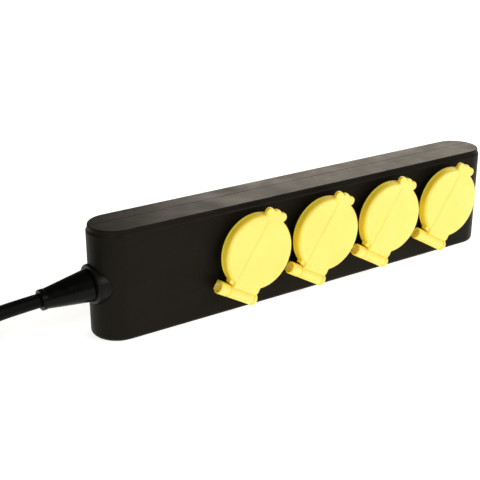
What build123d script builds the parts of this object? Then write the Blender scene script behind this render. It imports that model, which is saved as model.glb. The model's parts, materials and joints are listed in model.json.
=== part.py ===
from build123d import *
import math
import os

os.makedirs("parts", exist_ok=True)

# Outdoor socket strip for four earthed plugs, standing on one long narrow side.
# +X runs along the strip, the sockets face -Y and +Z is up. The origin is the
# centre of the side that it stands on. All sizes are in millimetres.

# ---- housing ---------------------------------------------------------------
LENGTH = 332.0
HEIGHT = 75.0
DEPTH = 35.8
WALL = 2.6
TOP_WALL = 3.0
FRONT_Y = -DEPTH / 2
REAR_Y = DEPTH / 2
PARTING_Y = 3.2
END_R = DEPTH / 2
END_X = LENGTH / 2 - END_R
BASE_ROUNDING = 4.5
COVE_INSET = 1.1
COVE_DROP = 4.0
SEAM_WIDTH = 0.6
SEAM_DEPTH = 0.5
LABEL_FIELD = (-110.0, 37.0, 28.0, 31.0)
LABEL_DEPTH = 0.3

# rubber cord between the two half shells
SEAL_INSET = 1.1
SEAL_WIDTH = 0.9
SEAL_SIDE = 1.6

# screws that hold the half shells together, driven in from behind
SCREW_XS = (-145.0, -88.0, 29.9, 145.0)
SCREW_ZS = (11.0, 65.0)
SCREW_R = 1.5
SCREW_SLACK = 0.03
SCREW_HEAD_R = 2.9
SCREW_HEAD_LENGTH = 2.2
HEAD_SLACK = 0.4
DRIVE_WIDTH = 0.7
SCREW_LENGTH = 20.0
HEAD_RECESS = 5.0
BOSS_R = 4.2

# ---- sockets ---------------------------------------------------------------
SOCKET_COUNT = 4
SOCKET_X1 = -57.2
SOCKET_PITCH = 58.1
SOCKET_Z = 43.0
TILT = 30.0
COLLAR_R = 25.0
COLLAR_HEIGHT = 5.2
CUP_R = 19.6
CUP_OUTER_R = 22.0
CUP_FLOOR = -12.0
FLOOR_THICK = 3.0
SHELL_HOLE_R = 22.2
SNAP_BEAD_R = 22.6
SNAP_BEAD_WIDTH = 1.2
PIN_SPACING = 19.0
PIN_HOLE_R = 2.6
GUIDE_RIB = (2.4, 4.4)
COLLAR_ROUNDING = 0.8
INSERT_SEAL = (22.6, 24.2, 0.9)

# earth clip: a strap behind the cup floor with a prong up each side of the cup
EARTH_WIDTH = 6.0
EARTH_THICK = 0.8
PRONG_INNER = 18.9
PRONG_TOP = -2.0
PRONG_SLACK = 0.3

# contact rails: a back strip with a pair of leaves for each pin
LEAF_GAP = 5.4
LEAF_THICK = 0.7
LEAF_WIDTH = 8.0
LEAF_FRONT = -17.0
STRIP_FRONT = -32.0
STRIP_THICK = 0.7
RAIL_OVERHANG = 14.0
EARTH_RAIL_INSET = 3.0
EARTH_RAIL_WIDTH = 4.0
EARTH_RAIL_OVERHANG = 17.0
TERMINAL = 6.0
CARRIER_FRONT = -20.0
CARRIER_THICK = 2.0
CARRIER_HEIGHT = 28.0
CARRIER_LEG_R = 1.8
CARRIER_LEG_INSET = 2.2
CARRIER_OVERHANG = 16.0
WINDOW_SLACK = 0.4

# ---- lids ------------------------------------------------------------------
FLANGE_R = 26.8
FLANGE_BACK = 5.4
FLANGE_THICK = 0.9
DISC_BASE_R = 26.4
DISC_TOP_R = 26.1
LID_FRONT = 12.5
DISC_ROUNDING = 1.6
HOLLOW_R = 19.4
HOLLOW_TOP = 9.0
LID_SEAL = (20.3, 23.4, 5.25, 6.5)
STEP_DEPTH = 0.35
STEP_EDGE = ((-9.0, -26.0), (-5.2, 24.6))
TAB_ANGLES = (74.0, 61.0, 49.0)
TAB_REACH = 28.6
TAB_R = 3.3
TAB_BACK = 7.6
TAB_FRONT = 12.3
TAB_ROUNDING = 0.9
TAB_WEB = (22.0, 13.0, 14.0)

# hinge, in each socket's own frame: u along the pin, v towards the tab
HINGE_V = -31.0
HINGE_W = 8.0
BARREL_R = 4.2
KNUCKLE = (-9.1, 11.9)
KNUCKLE_FLAT = 4.7
LEFT_EAR = (-17.8, -9.4)
RIGHT_EAR = (12.2, 14.6)
NECK_TOP = 10.4
NECK_BACK = 6.2
PIN_R = 1.25
PIN_FIT = 0.02
KNUCKLE_FIT = 0.06
PIN_ENDS = (-12.4, 13.8)
EAR_MOUTH_R = 2.9
EAR_MOUTH_DEPTH = 4.4
SPRING_ROOM_R = 3.0
SPRING_ROOM = (-6.6, 9.2)
FOOT_U = (-14.5, 14.6)
FOOT_V = (-34.6, -27.3)
FOOT_THICK = 3.0
PEDESTAL_HALF = 3.4
SPRING_MEAN_R = 2.15
SPRING_WIRE_R = 0.3
SPRING_PITCH = 1.75
SPRING_SPAN = (-6.1, 8.6)
BRACKET_SCREW_US = (-12.0, 9.5)
BRACKET_SCREW_R = 1.0
BRACKET_SCREW_LENGTH = 5.2
BRACKET_SCREW_HEAD = (1.9, 1.4)

# ---- cord entry ------------------------------------------------------------
GLAND_Z = 37.2
GLAND_SIZE = (14.6, 12.8)
GLAND_FACE_X = -167.3
GLAND_NECK_X = -165.8
GLAND_NECK_R = 10.6
GLAND_HOLE_R = 10.8
GLAND_INNER_X = -146.0
GLAND_FLANGE = (12.5, 3.0)
GLAND_ROUNDING = 2.2
DROOP = 3.2
SLEEVE_ROOT_X = -164.6
SLEEVE_POCKET_R = 9.8
SLEEVE_ROOT_R = 9.2
SLEEVE_FLARE_X = -168.0
SLEEVE_BASE_R = 10.8
SLEEVE_TIP_R = 6.4
SLEEVE_RIM_R = 6.7
SLEEVE_RIM_LENGTH = 3.2
SLEEVE_TIP_X = -200.7
CORD_R = 4.5
CORD_END_X = -128.0
CLAMP_X = -137.0
CLAMP_SIZE = (9.0, 3.6, 31.0)
CLAMP_SCREW_OFFSET = 11.0
CLAMP_BITE = 1.2
CLAMP_POST_R = 3.2
CLAMP_SCREW_R = 1.2
CLAMP_HEAD = (2.4, 1.8)
CORE_R = 1.25
CORE_BEND_R = 4.0
CORE_STRAIGHT = 12.0

# ---- cord outside the housing ----------------------------------------------
# The cord runs to a tied hank of three stacked turns, with the plug lying
# in the gap between its two runs.
HANK_FLOOR = 1.0
HANK_BEND_R = 27.0
HANK_RUN = 160.0
HANK_RIGHT_X = -263.0
HANK_Y = 9.0
HANK_TURNS = 3
HANK_START_X = -302.0
TIE_WIDTH = 8.0
TIE_THICK = 0.9
TIE_X = -372.0
HANK_TOP_Z = HANK_FLOOR + (HANK_TURNS - 0.5) * 2 * CORD_R
FRONT_LANE_Y = HANK_Y - HANK_BEND_R
REAR_LANE_Y = HANK_Y + HANK_BEND_R
HANK_LEFT_X = HANK_RIGHT_X - HANK_RUN
SLEEVE_TIP_Z = 34.9
TAIL_Z = HANK_FLOOR + CORD_R

# ---- plug ------------------------------------------------------------------
PLUG_R = 18.5
PLUG_BACK_X = -322.0
PLUG_RELIEF = 16.0
PLUG_SHOULDER = 9.0
PLUG_GRIP = 22.0
PLUG_FACE_R = 17.2
PLUG_FACE_THICK = 5.0
PLUG_PIN_R = 2.4
PLUG_PIN_LENGTH = 19.0
PLUG_CLIP_WIDTH = 7.0
PLUG_PIN_TIP = 1.4
PLUG_PIN_ROOT_R = 2.0
PLUG_NOTCH = (4.0, 1.5, 12.0)

LEAD_ROUTE = [
    (-200.7, 0.0, SLEEVE_TIP_Z),
    (-214.0, 0.0, 34.16),
    (-232.0, -0.8, 33.1),
    (-251.0, -5.6, 30.0),
    (-270.0, -12.6, 26.0),
    (-286.0, -17.3, 23.9),
    (HANK_START_X, FRONT_LANE_Y, HANK_TOP_Z),
]

TAIL_ROUTE = [
    (HANK_LEFT_X - 2.0, REAR_LANE_Y, TAIL_Z),
    (HANK_LEFT_X + 21.0, REAR_LANE_Y - 1.5, TAIL_Z + 0.8),
    (HANK_LEFT_X + 49.0, HANK_Y + 13.0, 11.5),
    (HANK_LEFT_X + 78.0, HANK_Y + 1.0, 17.8),
    (PLUG_BACK_X, HANK_Y, PLUG_R),
]


def save(name, shape):
    shape.label = name
    export_step(shape, "parts/" + name + ".step")


# ---- frames and small helpers ----------------------------------------------
def socket_frame(number):
    """Frame on the front face: x along the hinge pin, y to the tab, z outward."""
    angle = math.radians(TILT)
    return Plane(
        origin=(SOCKET_X1 + SOCKET_PITCH * (number - 1), FRONT_Y, SOCKET_Z),
        x_dir=(math.cos(angle), 0, -math.sin(angle)),
        z_dir=(0, -1, 0),
    )


def at_socket(number, shape):
    return socket_frame(number).location * shape


def disc(radius, low, high, u=0.0, v=0.0):
    """Cylinder along the outward direction, between two heights."""
    return Pos(u, v, (low + high) / 2) * Cylinder(radius, high - low)


def ring(inner, outer, low, high):
    return disc(outer, low, high) - disc(inner, low - 1, high + 1)


def block(u, v, w):
    """Box between pairs of limits along each axis."""
    size = [b - a for a, b in (u, v, w)]
    middle = [(a + b) / 2 for a, b in (u, v, w)]
    return Pos(*middle) * Box(*size)


def hinge_rod(radius, limits):
    """Cylinder on the hinge axis, between two places along it."""
    low, high = limits
    rod = Cylinder(radius, high - low)
    return Pos((low + high) / 2, HINGE_V, HINGE_W) * Rot(0, 90, 0) * rod


def rod_along_y(radius, x, z, low, high):
    return Pos(x, (low + high) / 2, z) * Rot(90, 0, 0) * Cylinder(radius, high - low)


def rod_along_x(radius, y, z, low, high):
    return Pos((low + high) / 2, y, z) * Rot(0, 90, 0) * Cylinder(radius, high - low)


def cord_frame():
    """Frame on the drooping cord axis: origin at the sleeve's tip, z outward."""
    angle = math.radians(DROOP)
    return Plane(
        origin=(SLEEVE_TIP_X, 0, SLEEVE_TIP_Z),
        x_dir=(0, 1, 0),
        z_dir=(-math.cos(angle), 0, -math.sin(angle)),
    )


def along_cord(x):
    """Distance along the cord axis, from the sleeve's tip, for a place along X."""
    return (SLEEVE_TIP_X - x) / math.cos(math.radians(DROOP))


def rod_along_cord(radius, x_from, x_to):
    low, high = sorted((along_cord(x_from), along_cord(x_to)))
    return cord_frame().location * disc(radius, low, high)


# ---- housing ---------------------------------------------------------------
def slot_prism(inset, low, high):
    outline = SlotOverall(LENGTH - 2 * inset, DEPTH - 2 * inset)
    return Pos(0, 0, low) * extrude(outline, high - low)


def cove_tool():
    """Elliptical bead round the top edge, which leaves a hollow step when cut."""
    section = Ellipse(COVE_INSET, COVE_DROP)
    pieces = []
    for side in (-1, 1):
        straight = Plane.YZ * Pos(side * END_R, HEIGHT) * section
        pieces.append(Pos(-END_X, 0, 0) * extrude(straight, 2 * END_X))
        start = Plane.YZ * Pos(-side * END_R, HEIGHT) * section
        pieces.append(Pos(side * END_X, 0, 0) * revolve(start, Axis.Z, 180))
    return pieces


def envelope():
    """The closed outside of the housing, before it is parted and hollowed."""
    body = slot_prism(0, 0, HEIGHT)
    bottom = body.faces().sort_by(Axis.Z)[0]
    body = fillet(bottom.edges(), BASE_ROUNDING)
    for tool in cove_tool():
        body -= tool
    return body


def seam_groove():
    """Narrow gap that shows round the outside where the two half shells meet."""
    slab = Box(LENGTH + 2, SEAM_WIDTH, HEIGHT + 2)
    core = Box(LENGTH - 2 * (SEAM_DEPTH + 0.3), SEAM_WIDTH, HEIGHT - 2 * SEAM_DEPTH)
    return Pos(0, PARTING_Y, HEIGHT / 2) * (slab - core)


def shell_seal():
    """Rubber cord in the parting plane, let half its depth into each shell."""
    side = SEAL_INSET + SEAL_WIDTH
    outer = Box(LENGTH - 2 * SEAL_INSET, SEAL_SIDE, HEIGHT - 2 * SEAL_INSET)
    inner = Box(LENGTH - 2 * side, SEAL_SIDE, HEIGHT - 2 * side)
    loop = Pos(0, PARTING_Y, HEIGHT / 2) * (outer - inner)
    return loop - gland_hole()


def gland_hole():
    return rod_along_x(GLAND_HOLE_R, 0, GLAND_Z, -LENGTH / 2 - 5, GLAND_INNER_X - 4)


def screw_places():
    return [(x, z) for x in SCREW_XS for z in SCREW_ZS]


def hollow_body(outside):
    return outside - slot_prism(WALL, WALL, HEIGHT - TOP_WALL)


def half(shape, front):
    low, high = (FRONT_Y - 1, PARTING_Y) if front else (PARTING_Y, REAR_Y + 1)
    room = block((-LENGTH, LENGTH), (low, high), (-1, HEIGHT + 1))
    return shape & room


def label_field():
    """Shallow rounded panel on the front face, left plain."""
    x, z, width, height = LABEL_FIELD
    outline = Plane.XZ * Pos(x, z) * RectangleRounded(width, height, 1.5)
    return Pos(0, FRONT_Y + LABEL_DEPTH, 0) * extrude(outline, LABEL_DEPTH + 1)


def front_shell(outside):
    body = half(hollow_body(outside), True)
    for x, z in screw_places():
        body += rod_along_y(BOSS_R, x, z, FRONT_Y + WALL, PARTING_Y)
    for x, z in screw_places():
        body -= rod_along_y(SCREW_R + SCREW_SLACK, x, z, screw_tip() - 1, PARTING_Y + 1)
    for number in range(1, SOCKET_COUNT + 1):
        body -= at_socket(number, disc(SHELL_HOLE_R, -WALL - 1, 1))
        for u in BRACKET_SCREW_US:
            hole = disc(BRACKET_SCREW_R + 0.1, -WALL - 1, 1, u, bracket_screw_v())
            body -= at_socket(number, hole)
    return body - seam_groove() - shell_seal() - gland_hole() - label_field()


def rear_shell(outside):
    body = half(hollow_body(outside), False)
    for x, z in screw_places():
        body += rod_along_y(BOSS_R, x, z, PARTING_Y, REAR_Y - WALL)
    for x, z in screw_places():
        body -= rod_along_y(SCREW_R + SCREW_SLACK, x, z, PARTING_Y - 1, REAR_Y + 1)
        body -= rod_along_y(SCREW_HEAD_R + HEAD_SLACK, x, z, REAR_Y - HEAD_RECESS, REAR_Y + 1)
    for side in (-1, 1):
        z = clamp_z() + side * CLAMP_SCREW_OFFSET
        body += rod_along_y(CLAMP_POST_R, CLAMP_X, z, CORD_R, REAR_Y - WALL)
        hole_end = REAR_Y - WALL - 1.5
        body -= rod_along_y(CLAMP_SCREW_R + SCREW_SLACK, CLAMP_X, z, CORD_R - 1, hole_end)
    return body - seam_groove() - shell_seal() - gland_hole()


def screw_tip():
    return REAR_Y - HEAD_RECESS - SCREW_LENGTH


def cross_slot(radius, depth):
    """Two crossed blades, for cutting a driver's cross into a screw head."""
    blade = radius * 1.2
    return Box(blade, DRIVE_WIDTH, depth) + Box(DRIVE_WIDTH, blade, depth)


def housing_screws():
    screws = []
    head_top = REAR_Y - HEAD_RECESS + SCREW_HEAD_LENGTH
    for x, z in screw_places():
        screw = rod_along_y(SCREW_R, x, z, screw_tip(), REAR_Y - HEAD_RECESS)
        screw += rod_along_y(SCREW_HEAD_R, x, z, REAR_Y - HEAD_RECESS, head_top)
        screw -= Pos(x, head_top, z) * Rot(90, 0, 0) * cross_slot(SCREW_HEAD_R, 2.4)
        screws.append(screw)
    return Compound(children=screws)


# ---- sockets ---------------------------------------------------------------
def socket_insert():
    """Collar, cup and floor in one moulding, pushed in from the front."""
    back = CUP_FLOOR - FLOOR_THICK
    body = disc(COLLAR_R, 0, COLLAR_HEIGHT)
    rim = body.edges().filter_by(GeomType.CIRCLE).sort_by(Axis.Z)[-1]
    body = fillet(rim, COLLAR_ROUNDING)
    body += disc(CUP_OUTER_R, back, 0)
    body += disc(SNAP_BEAD_R, -WALL - 0.05 - SNAP_BEAD_WIDTH, -WALL - 0.05)
    body -= disc(CUP_R, CUP_FLOOR, COLLAR_HEIGHT + 1)
    rib_in, rib_width = GUIDE_RIB
    for side in (-1, 1):
        low, high = sorted((side * (CUP_R - rib_in + 0.2), side * (CUP_R + 0.6)))
        body += block((low, high), (-rib_width / 2, rib_width / 2), (CUP_FLOOR, 1.5))
        body -= disc(PIN_HOLE_R, back - 1, CUP_FLOOR + 1, side * PIN_SPACING / 2)
        low, high = sorted((side * (PRONG_INNER - 0.2), side * (PRONG_INNER + EARTH_THICK + 0.4)))
        reach = EARTH_WIDTH / 2 + PRONG_SLACK
        body -= block((-reach, reach), (low, high), (back - 1, PRONG_TOP + 1))
    inner, outer, deep = INSERT_SEAL
    return body - ring(inner, outer, -0.5, deep)


def insert_seal():
    inner, outer, deep = INSERT_SEAL
    return ring(inner, outer, 0, deep)


def earth_clip():
    """Sprung brass strip: the strap crosses between the two pins."""
    back = CUP_FLOOR - FLOOR_THICK
    reach = PRONG_INNER + EARTH_THICK
    half_width = EARTH_WIDTH / 2
    clip = block((-half_width, half_width), (-reach, reach), (back - EARTH_THICK, back))
    for side in (-1, 1):
        low, high = sorted((side * PRONG_INNER, side * reach))
        clip += block((-half_width, half_width), (low, high), (back - EARTH_THICK, PRONG_TOP))
    return clip


def contact_rail(side):
    """Brass rail for one row of pins. side -1 is the upper row, 1 the lower one."""
    angle = math.radians(TILT)
    shift = side * PIN_SPACING / 2
    row_z = SOCKET_Z - shift * math.sin(angle)
    half_height = LEAF_GAP / 2 + LEAF_THICK
    y_leaf, y_strip = FRONT_Y - LEAF_FRONT, FRONT_Y - STRIP_FRONT
    first = SOCKET_X1 + shift * math.cos(angle)
    last = first + SOCKET_PITCH * (SOCKET_COUNT - 1)
    rail = block(
        (first - RAIL_OVERHANG, last + LEAF_WIDTH / 2),
        (y_strip, y_strip + STRIP_THICK),
        (row_z - half_height, row_z + half_height),
    )
    for number in range(SOCKET_COUNT):
        x = first + SOCKET_PITCH * number
        for low in (row_z - half_height, row_z + LEAF_GAP / 2):
            sides = (x - LEAF_WIDTH / 2, x + LEAF_WIDTH / 2)
            rail += block(sides, (y_leaf, y_strip), (low, low + LEAF_THICK))
    return rail


def earth_rail():
    """Strip that touches the back of every earth clip, below the contact rails."""
    v = EARTH_RAIL_INSET - PRONG_INNER
    z = SOCKET_Z + v * math.cos(math.radians(TILT))
    x = SOCKET_X1 + v * math.sin(math.radians(TILT))
    y = FRONT_Y - (CUP_FLOOR - FLOOR_THICK - EARTH_THICK)
    last = x + SOCKET_PITCH * (SOCKET_COUNT - 1) + EARTH_WIDTH / 2
    reach = EARTH_RAIL_WIDTH / 2
    return block((x - EARTH_RAIL_OVERHANG, last), (y, y + EARTH_THICK), (z - reach, z + reach))


def contact_carrier():
    """Insulating plate with a window round each pair of leaves, on six legs."""
    angle = math.radians(TILT)
    y = FRONT_Y - CARRIER_FRONT
    last_x = SOCKET_X1 + SOCKET_PITCH * (SOCKET_COUNT - 1)
    low_z, high_z = SOCKET_Z - CARRIER_HEIGHT / 2, SOCKET_Z + CARRIER_HEIGHT / 2
    ends = (SOCKET_X1 - CARRIER_OVERHANG, last_x + CARRIER_OVERHANG)
    plate = block(ends, (y, y + CARRIER_THICK), (low_z, high_z))
    for number in range(SOCKET_COUNT):
        for side in (-1, 1):
            x = SOCKET_X1 + SOCKET_PITCH * number + side * PIN_SPACING / 2 * math.cos(angle)
            z = SOCKET_Z - side * PIN_SPACING / 2 * math.sin(angle)
            reach_x = LEAF_WIDTH / 2 + WINDOW_SLACK
            reach_z = LEAF_GAP / 2 + LEAF_THICK + WINDOW_SLACK
            window = Box(2 * reach_x, CARRIER_THICK + 2, 2 * reach_z)
            plate -= Pos(x, y + CARRIER_THICK / 2, z) * window
    for gap in range(SOCKET_COUNT - 1):
        x = SOCKET_X1 + SOCKET_PITCH * (gap + 0.5)
        for z in (low_z + CARRIER_LEG_INSET, high_z - CARRIER_LEG_INSET):
            plate += rod_along_y(CARRIER_LEG_R, x, z, y + CARRIER_THICK - 0.5, REAR_Y - WALL)
    return plate


# ---- lids and hinges -------------------------------------------------------
def neck_outline():
    """Web between the disc and the barrel, narrower at the barrel."""
    shoulder = HINGE_V + KNUCKLE_FLAT
    return Polyline(
        (-12.6, -20.0),
        (-12.6, shoulder + 0.5),
        (KNUCKLE[0], shoulder),
        (KNUCKLE[0], HINGE_V),
        (KNUCKLE[1], HINGE_V),
        (KNUCKLE[1], shoulder),
        (12.5, shoulder + 0.5),
        (12.5, -20.0),
        close=True,
    )


def strap_outline():
    """Part of the neck right of the crease, level with the lid's front face."""
    shoulder = HINGE_V + KNUCKLE_FLAT
    return Polyline(
        (KNUCKLE[0], -20.0),
        (KNUCKLE[0], HINGE_V),
        (KNUCKLE[1], HINGE_V),
        (KNUCKLE[1], shoulder),
        (12.5, shoulder + 0.5),
        (12.5, -20.0),
        close=True,
    )


def lid():
    flange = disc(FLANGE_R, FLANGE_BACK, FLANGE_BACK + FLANGE_THICK)
    dome = Pos(0, 0, (FLANGE_BACK + FLANGE_THICK + LID_FRONT) / 2) * Cone(
        DISC_BASE_R, DISC_TOP_R, LID_FRONT - FLANGE_BACK - FLANGE_THICK
    )
    top_edge = dome.edges().filter_by(GeomType.CIRCLE).sort_by(Axis.Z)[-1]
    body = flange + fillet(top_edge, DISC_ROUNDING)
    neck = Pos(0, 0, NECK_BACK) * extrude(make_face(neck_outline()), NECK_TOP - NECK_BACK)
    strap = Pos(0, 0, NECK_BACK) * extrude(make_face(strap_outline()), LID_FRONT - NECK_BACK)
    body += neck + strap - disc(CUP_R, NECK_BACK - 1, LID_FRONT + 1)
    body += hinge_rod(BARREL_R, KNUCKLE)
    for angle in TAB_ANGLES:
        u = TAB_REACH * math.cos(math.radians(angle + TILT))
        v = TAB_REACH * math.sin(math.radians(angle + TILT))
        lobe = disc(TAB_R, TAB_BACK, TAB_FRONT, u, v)
        body += fillet(lobe.edges().filter_by(GeomType.CIRCLE), TAB_ROUNDING)
    body += tab_web() - disc(HOLLOW_R, 0, HOLLOW_TOP)
    body -= step_down()
    body -= disc(HOLLOW_R, 0, HOLLOW_TOP)
    inner, outer, _, top = LID_SEAL
    body -= ring(inner, outer, 0, top)
    body -= hinge_rod(PIN_R + KNUCKLE_FIT, (KNUCKLE[0] - 1, KNUCKLE[1] + 1))
    return body - hinge_rod(SPRING_ROOM_R, SPRING_ROOM)


def tab_web():
    """Block that joins the three lobes of the tab to the disc."""
    reach, length, width = TAB_WEB
    angle = TAB_ANGLES[1] + TILT
    u = reach * math.cos(math.radians(angle))
    v = reach * math.sin(math.radians(angle))
    web = Box(length, width, LID_FRONT - TAB_BACK - 0.8)
    return Pos(u, v, (TAB_BACK + LID_FRONT) / 2) * Rot(0, 0, angle) * web


def step_down():
    """The front face left of the crease lies a little lower than the rest."""
    lower, upper = STEP_EDGE
    outline = Polyline(lower, upper, (-30.0, upper[1]), (-30.0, lower[1]), close=True)
    room = Pos(0, 0, LID_FRONT - STEP_DEPTH) * extrude(make_face(outline), 1.0)
    return room & disc(DISC_TOP_R - DISC_ROUNDING, 0, LID_FRONT + 2)


def lid_seal():
    inner, outer, low, top = LID_SEAL
    return ring(inner, outer, low, top)


def hinge_bracket():
    """Foot screwed to the front shell, with an ear at each end of the pin."""
    foot = block(FOOT_U, FOOT_V, (0, FOOT_THICK))
    bracket = fillet(foot.edges().filter_by(Axis.Z), 1.0)
    for ear in (LEFT_EAR, RIGHT_EAR):
        bracket += hinge_pedestal(ear) + hinge_rod(BARREL_R + 0.1, ear)
    bracket -= hinge_rod(EAR_MOUTH_R, (LEFT_EAR[0] - 1, LEFT_EAR[0] + EAR_MOUTH_DEPTH))
    bracket -= hinge_rod(PIN_R + PIN_FIT, (LEFT_EAR[0], PIN_ENDS[1] + 0.1))
    for u in BRACKET_SCREW_US:
        hole_r = BRACKET_SCREW_R + SCREW_SLACK
        bracket -= disc(hole_r, -1, screw_depth() + 0.2, u, bracket_screw_v())
    return bracket


def hinge_pedestal(ear):
    """Upright below an ear. The left ear hangs a little over its upright."""
    low, high = max(ear[0], FOOT_U[0]), ear[1]
    middle = bracket_screw_v()
    return block((low, high), (middle - PEDESTAL_HALF, middle + PEDESTAL_HALF), (0, HINGE_W))


def bracket_screw_v():
    return (FOOT_V[0] + FOOT_V[1]) / 2


def screw_depth():
    return BRACKET_SCREW_LENGTH - WALL


def bracket_screws():
    """Two screws for each bracket, driven from inside the front shell."""
    radius, height = BRACKET_SCREW_HEAD
    screws = []
    for number in range(1, SOCKET_COUNT + 1):
        for u in BRACKET_SCREW_US:
            shank = disc(BRACKET_SCREW_R, -WALL, screw_depth(), u, bracket_screw_v())
            head = disc(radius, -WALL - height, -WALL, u, bracket_screw_v())
            screws.append(at_socket(number, shank + head))
    return Compound(children=screws)


def hinge_pin():
    return hinge_rod(PIN_R, PIN_ENDS)


def lid_spring():
    """Torsion spring round the pin, inside the lid's knuckle."""
    low, high = SPRING_SPAN
    coil = Helix(SPRING_PITCH, high - low, SPRING_MEAN_R)
    section = Plane(origin=coil @ 0, z_dir=coil % 0) * Circle(SPRING_WIRE_R)
    wire = sweep(section, path=coil, is_frenet=True)
    return Pos(low, HINGE_V, HINGE_W) * Rot(0, 90, 0) * wire


# ---- cord entry ------------------------------------------------------------
def cable_gland(outside):
    """Oval collar on the curved end, with a neck and flange inside."""
    outline = Plane.YZ * Ellipse(*GLAND_SIZE)
    collar = Pos(GLAND_FACE_X, 0, GLAND_Z) * extrude(outline, -GLAND_FACE_X - END_X)
    face = collar.faces().sort_by(Axis.X)[0]
    collar = fillet(face.edges(), GLAND_ROUNDING) - outside
    collar = collar.solids().sort_by(Axis.X)[0]
    body = collar + rod_along_x(GLAND_NECK_R, 0, GLAND_Z, GLAND_NECK_X, GLAND_INNER_X)
    radius, length = GLAND_FLANGE
    body += rod_along_x(radius, 0, GLAND_Z, GLAND_INNER_X - length, GLAND_INNER_X)
    body -= rod_along_x(SLEEVE_POCKET_R, 0, GLAND_Z - 0.2, GLAND_FACE_X - 1, SLEEVE_ROOT_X)
    return body - rod_along_cord(CORD_R + 0.05, SLEEVE_TIP_X, CORD_END_X)


def strain_relief():
    """Tapered rubber sleeve that stops the cord kinking where it leaves."""
    root, flare = along_cord(SLEEVE_ROOT_X - 0.6), along_cord(SLEEVE_FLARE_X)
    rim = -SLEEVE_RIM_LENGTH
    outline = Polyline(
        (CORD_R + 0.02, root),
        (SLEEVE_ROOT_R, root),
        (SLEEVE_ROOT_R, flare),
        (SLEEVE_BASE_R, flare),
        (SLEEVE_TIP_R, rim),
        (SLEEVE_RIM_R, rim),
        (SLEEVE_RIM_R, 0),
        (CORD_R + 0.02, 0),
        close=True,
    )
    sleeve = revolve(Plane.XZ * make_face(outline), Axis.Z)
    return cord_frame().location * sleeve


def cord_inner_end():
    """Jacketed end of the cord, through the sleeve and gland to the clamp."""
    return rod_along_cord(CORD_R, SLEEVE_TIP_X, CORD_END_X)


def clamp_z():
    return SLEEVE_TIP_Z + (CLAMP_X - SLEEVE_TIP_X) * math.tan(math.radians(DROOP))


def cord_clamp():
    """Bar across the cord, with a spacer at each end round its screw."""
    width, thick, height = CLAMP_SIZE
    low = -CORD_R - CLAMP_BITE
    bar = Pos(CLAMP_X, low + thick / 2, clamp_z()) * Box(width, thick, height)
    bar = fillet(bar.edges().filter_by(Axis.Y), 2.0)
    hole_r = CLAMP_SCREW_R + 0.2
    for side in (-1, 1):
        z = clamp_z() + side * CLAMP_SCREW_OFFSET
        bar += rod_along_y(CLAMP_POST_R, CLAMP_X, z, 0.2 - CORD_R, CORD_R - 0.2)
        bar -= rod_along_y(hole_r, CLAMP_X, z, low - 1, CORD_R + 1)
    return bar - rod_along_cord(CORD_R + 0.03, SLEEVE_TIP_X, CORD_END_X)


def clamp_screws():
    screws = []
    top = -CORD_R - CLAMP_BITE
    head_r, head_height = CLAMP_HEAD
    for side in (-1, 1):
        z = clamp_z() + side * CLAMP_SCREW_OFFSET
        screw = rod_along_y(CLAMP_SCREW_R, CLAMP_X, z, top, REAR_Y - WALL - 2)
        screws.append(screw + rod_along_y(head_r, CLAMP_X, z, top - head_height, top))
    return Compound(children=screws)


def core_wire(route):
    path = FilletPolyline(*route, radius=CORE_BEND_R)
    section = Plane(origin=path @ 0, z_dir=path % 0) * Circle(CORE_R)
    return sweep(section, path=path)


# ---- cord outside the housing ----------------------------------------------
def corner_radii(route):
    """Largest arc for each corner: 0.45 of its shorter run over tan(half turn)."""
    points = [Vector(*p) for p in route]
    radii = []
    for before, corner, after in zip(points, points[1:], points[2:]):
        run_in, run_out = corner - before, after - corner
        turn = math.radians(run_in.get_angle(run_out))
        radii.append(0.45 * min(run_in.length, run_out.length) / math.tan(turn / 2))
    return radii


def cord_tube(name, route):
    radii = corner_radii(route)
    path = FilletPolyline(*route, radius=radii)
    section = Plane(origin=path @ 0, z_dir=path % 0) * Circle(CORD_R)
    tube = sweep(section, path=path)
    expected = math.pi * CORD_R**2 * path.length
    print(name, "length", round(path.length, 1), "volume share", round(tube.volume / expected, 4))
    print(name, "radii", [round(r, 1) for r in radii])
    return tube


def racetrack(radius, low, high):
    middle = (HANK_RIGHT_X + HANK_LEFT_X) / 2
    outline = SlotOverall(HANK_RUN + 2 * radius, 2 * radius)
    return Pos(middle, HANK_Y, low) * extrude(outline, high - low)


def cord_hank():
    """Outer shape of the stacked turns. The top turn starts where the lead lands."""
    top = HANK_FLOOR + HANK_TURNS * 2 * CORD_R
    second = top - 2 * CORD_R
    outer, inner = HANK_BEND_R + CORD_R, HANK_BEND_R - CORD_R
    body = racetrack(outer, HANK_FLOOR, top) - racetrack(inner, HANK_FLOOR - 1, top + 1)
    lead_end = (HANK_START_X, HANK_RIGHT_X + outer + 1)
    return body - block(lead_end, (HANK_Y - outer - 1, HANK_Y), (second, top + 1))


def hank_ties():
    """One strap round each run of the hank."""
    ties = []
    top = HANK_FLOOR + HANK_TURNS * 2 * CORD_R
    reach = CORD_R + TIE_THICK
    sides = (TIE_X - TIE_WIDTH / 2, TIE_X + TIE_WIDTH / 2)
    for lane in (FRONT_LANE_Y, REAR_LANE_Y):
        outer = block(sides, (lane - reach, lane + reach), (HANK_FLOOR - TIE_THICK, top + TIE_THICK))
        inner = block((sides[0] - 1, sides[1] + 1), (lane - CORD_R, lane + CORD_R), (HANK_FLOOR, top))
        ties.append(fillet(outer.edges().filter_by(Axis.X), 0.8) - inner)
    return Compound(children=ties)


# ---- plug ------------------------------------------------------------------
def plug_place():
    """Frame on the plug's axis: origin where the cord enters, z towards the pins."""
    return Plane(origin=(PLUG_BACK_X, HANK_Y, PLUG_R), x_dir=(0, 0, -1), z_dir=(1, 0, 0))


def plug_front():
    return PLUG_RELIEF + PLUG_SHOULDER + PLUG_GRIP


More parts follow.
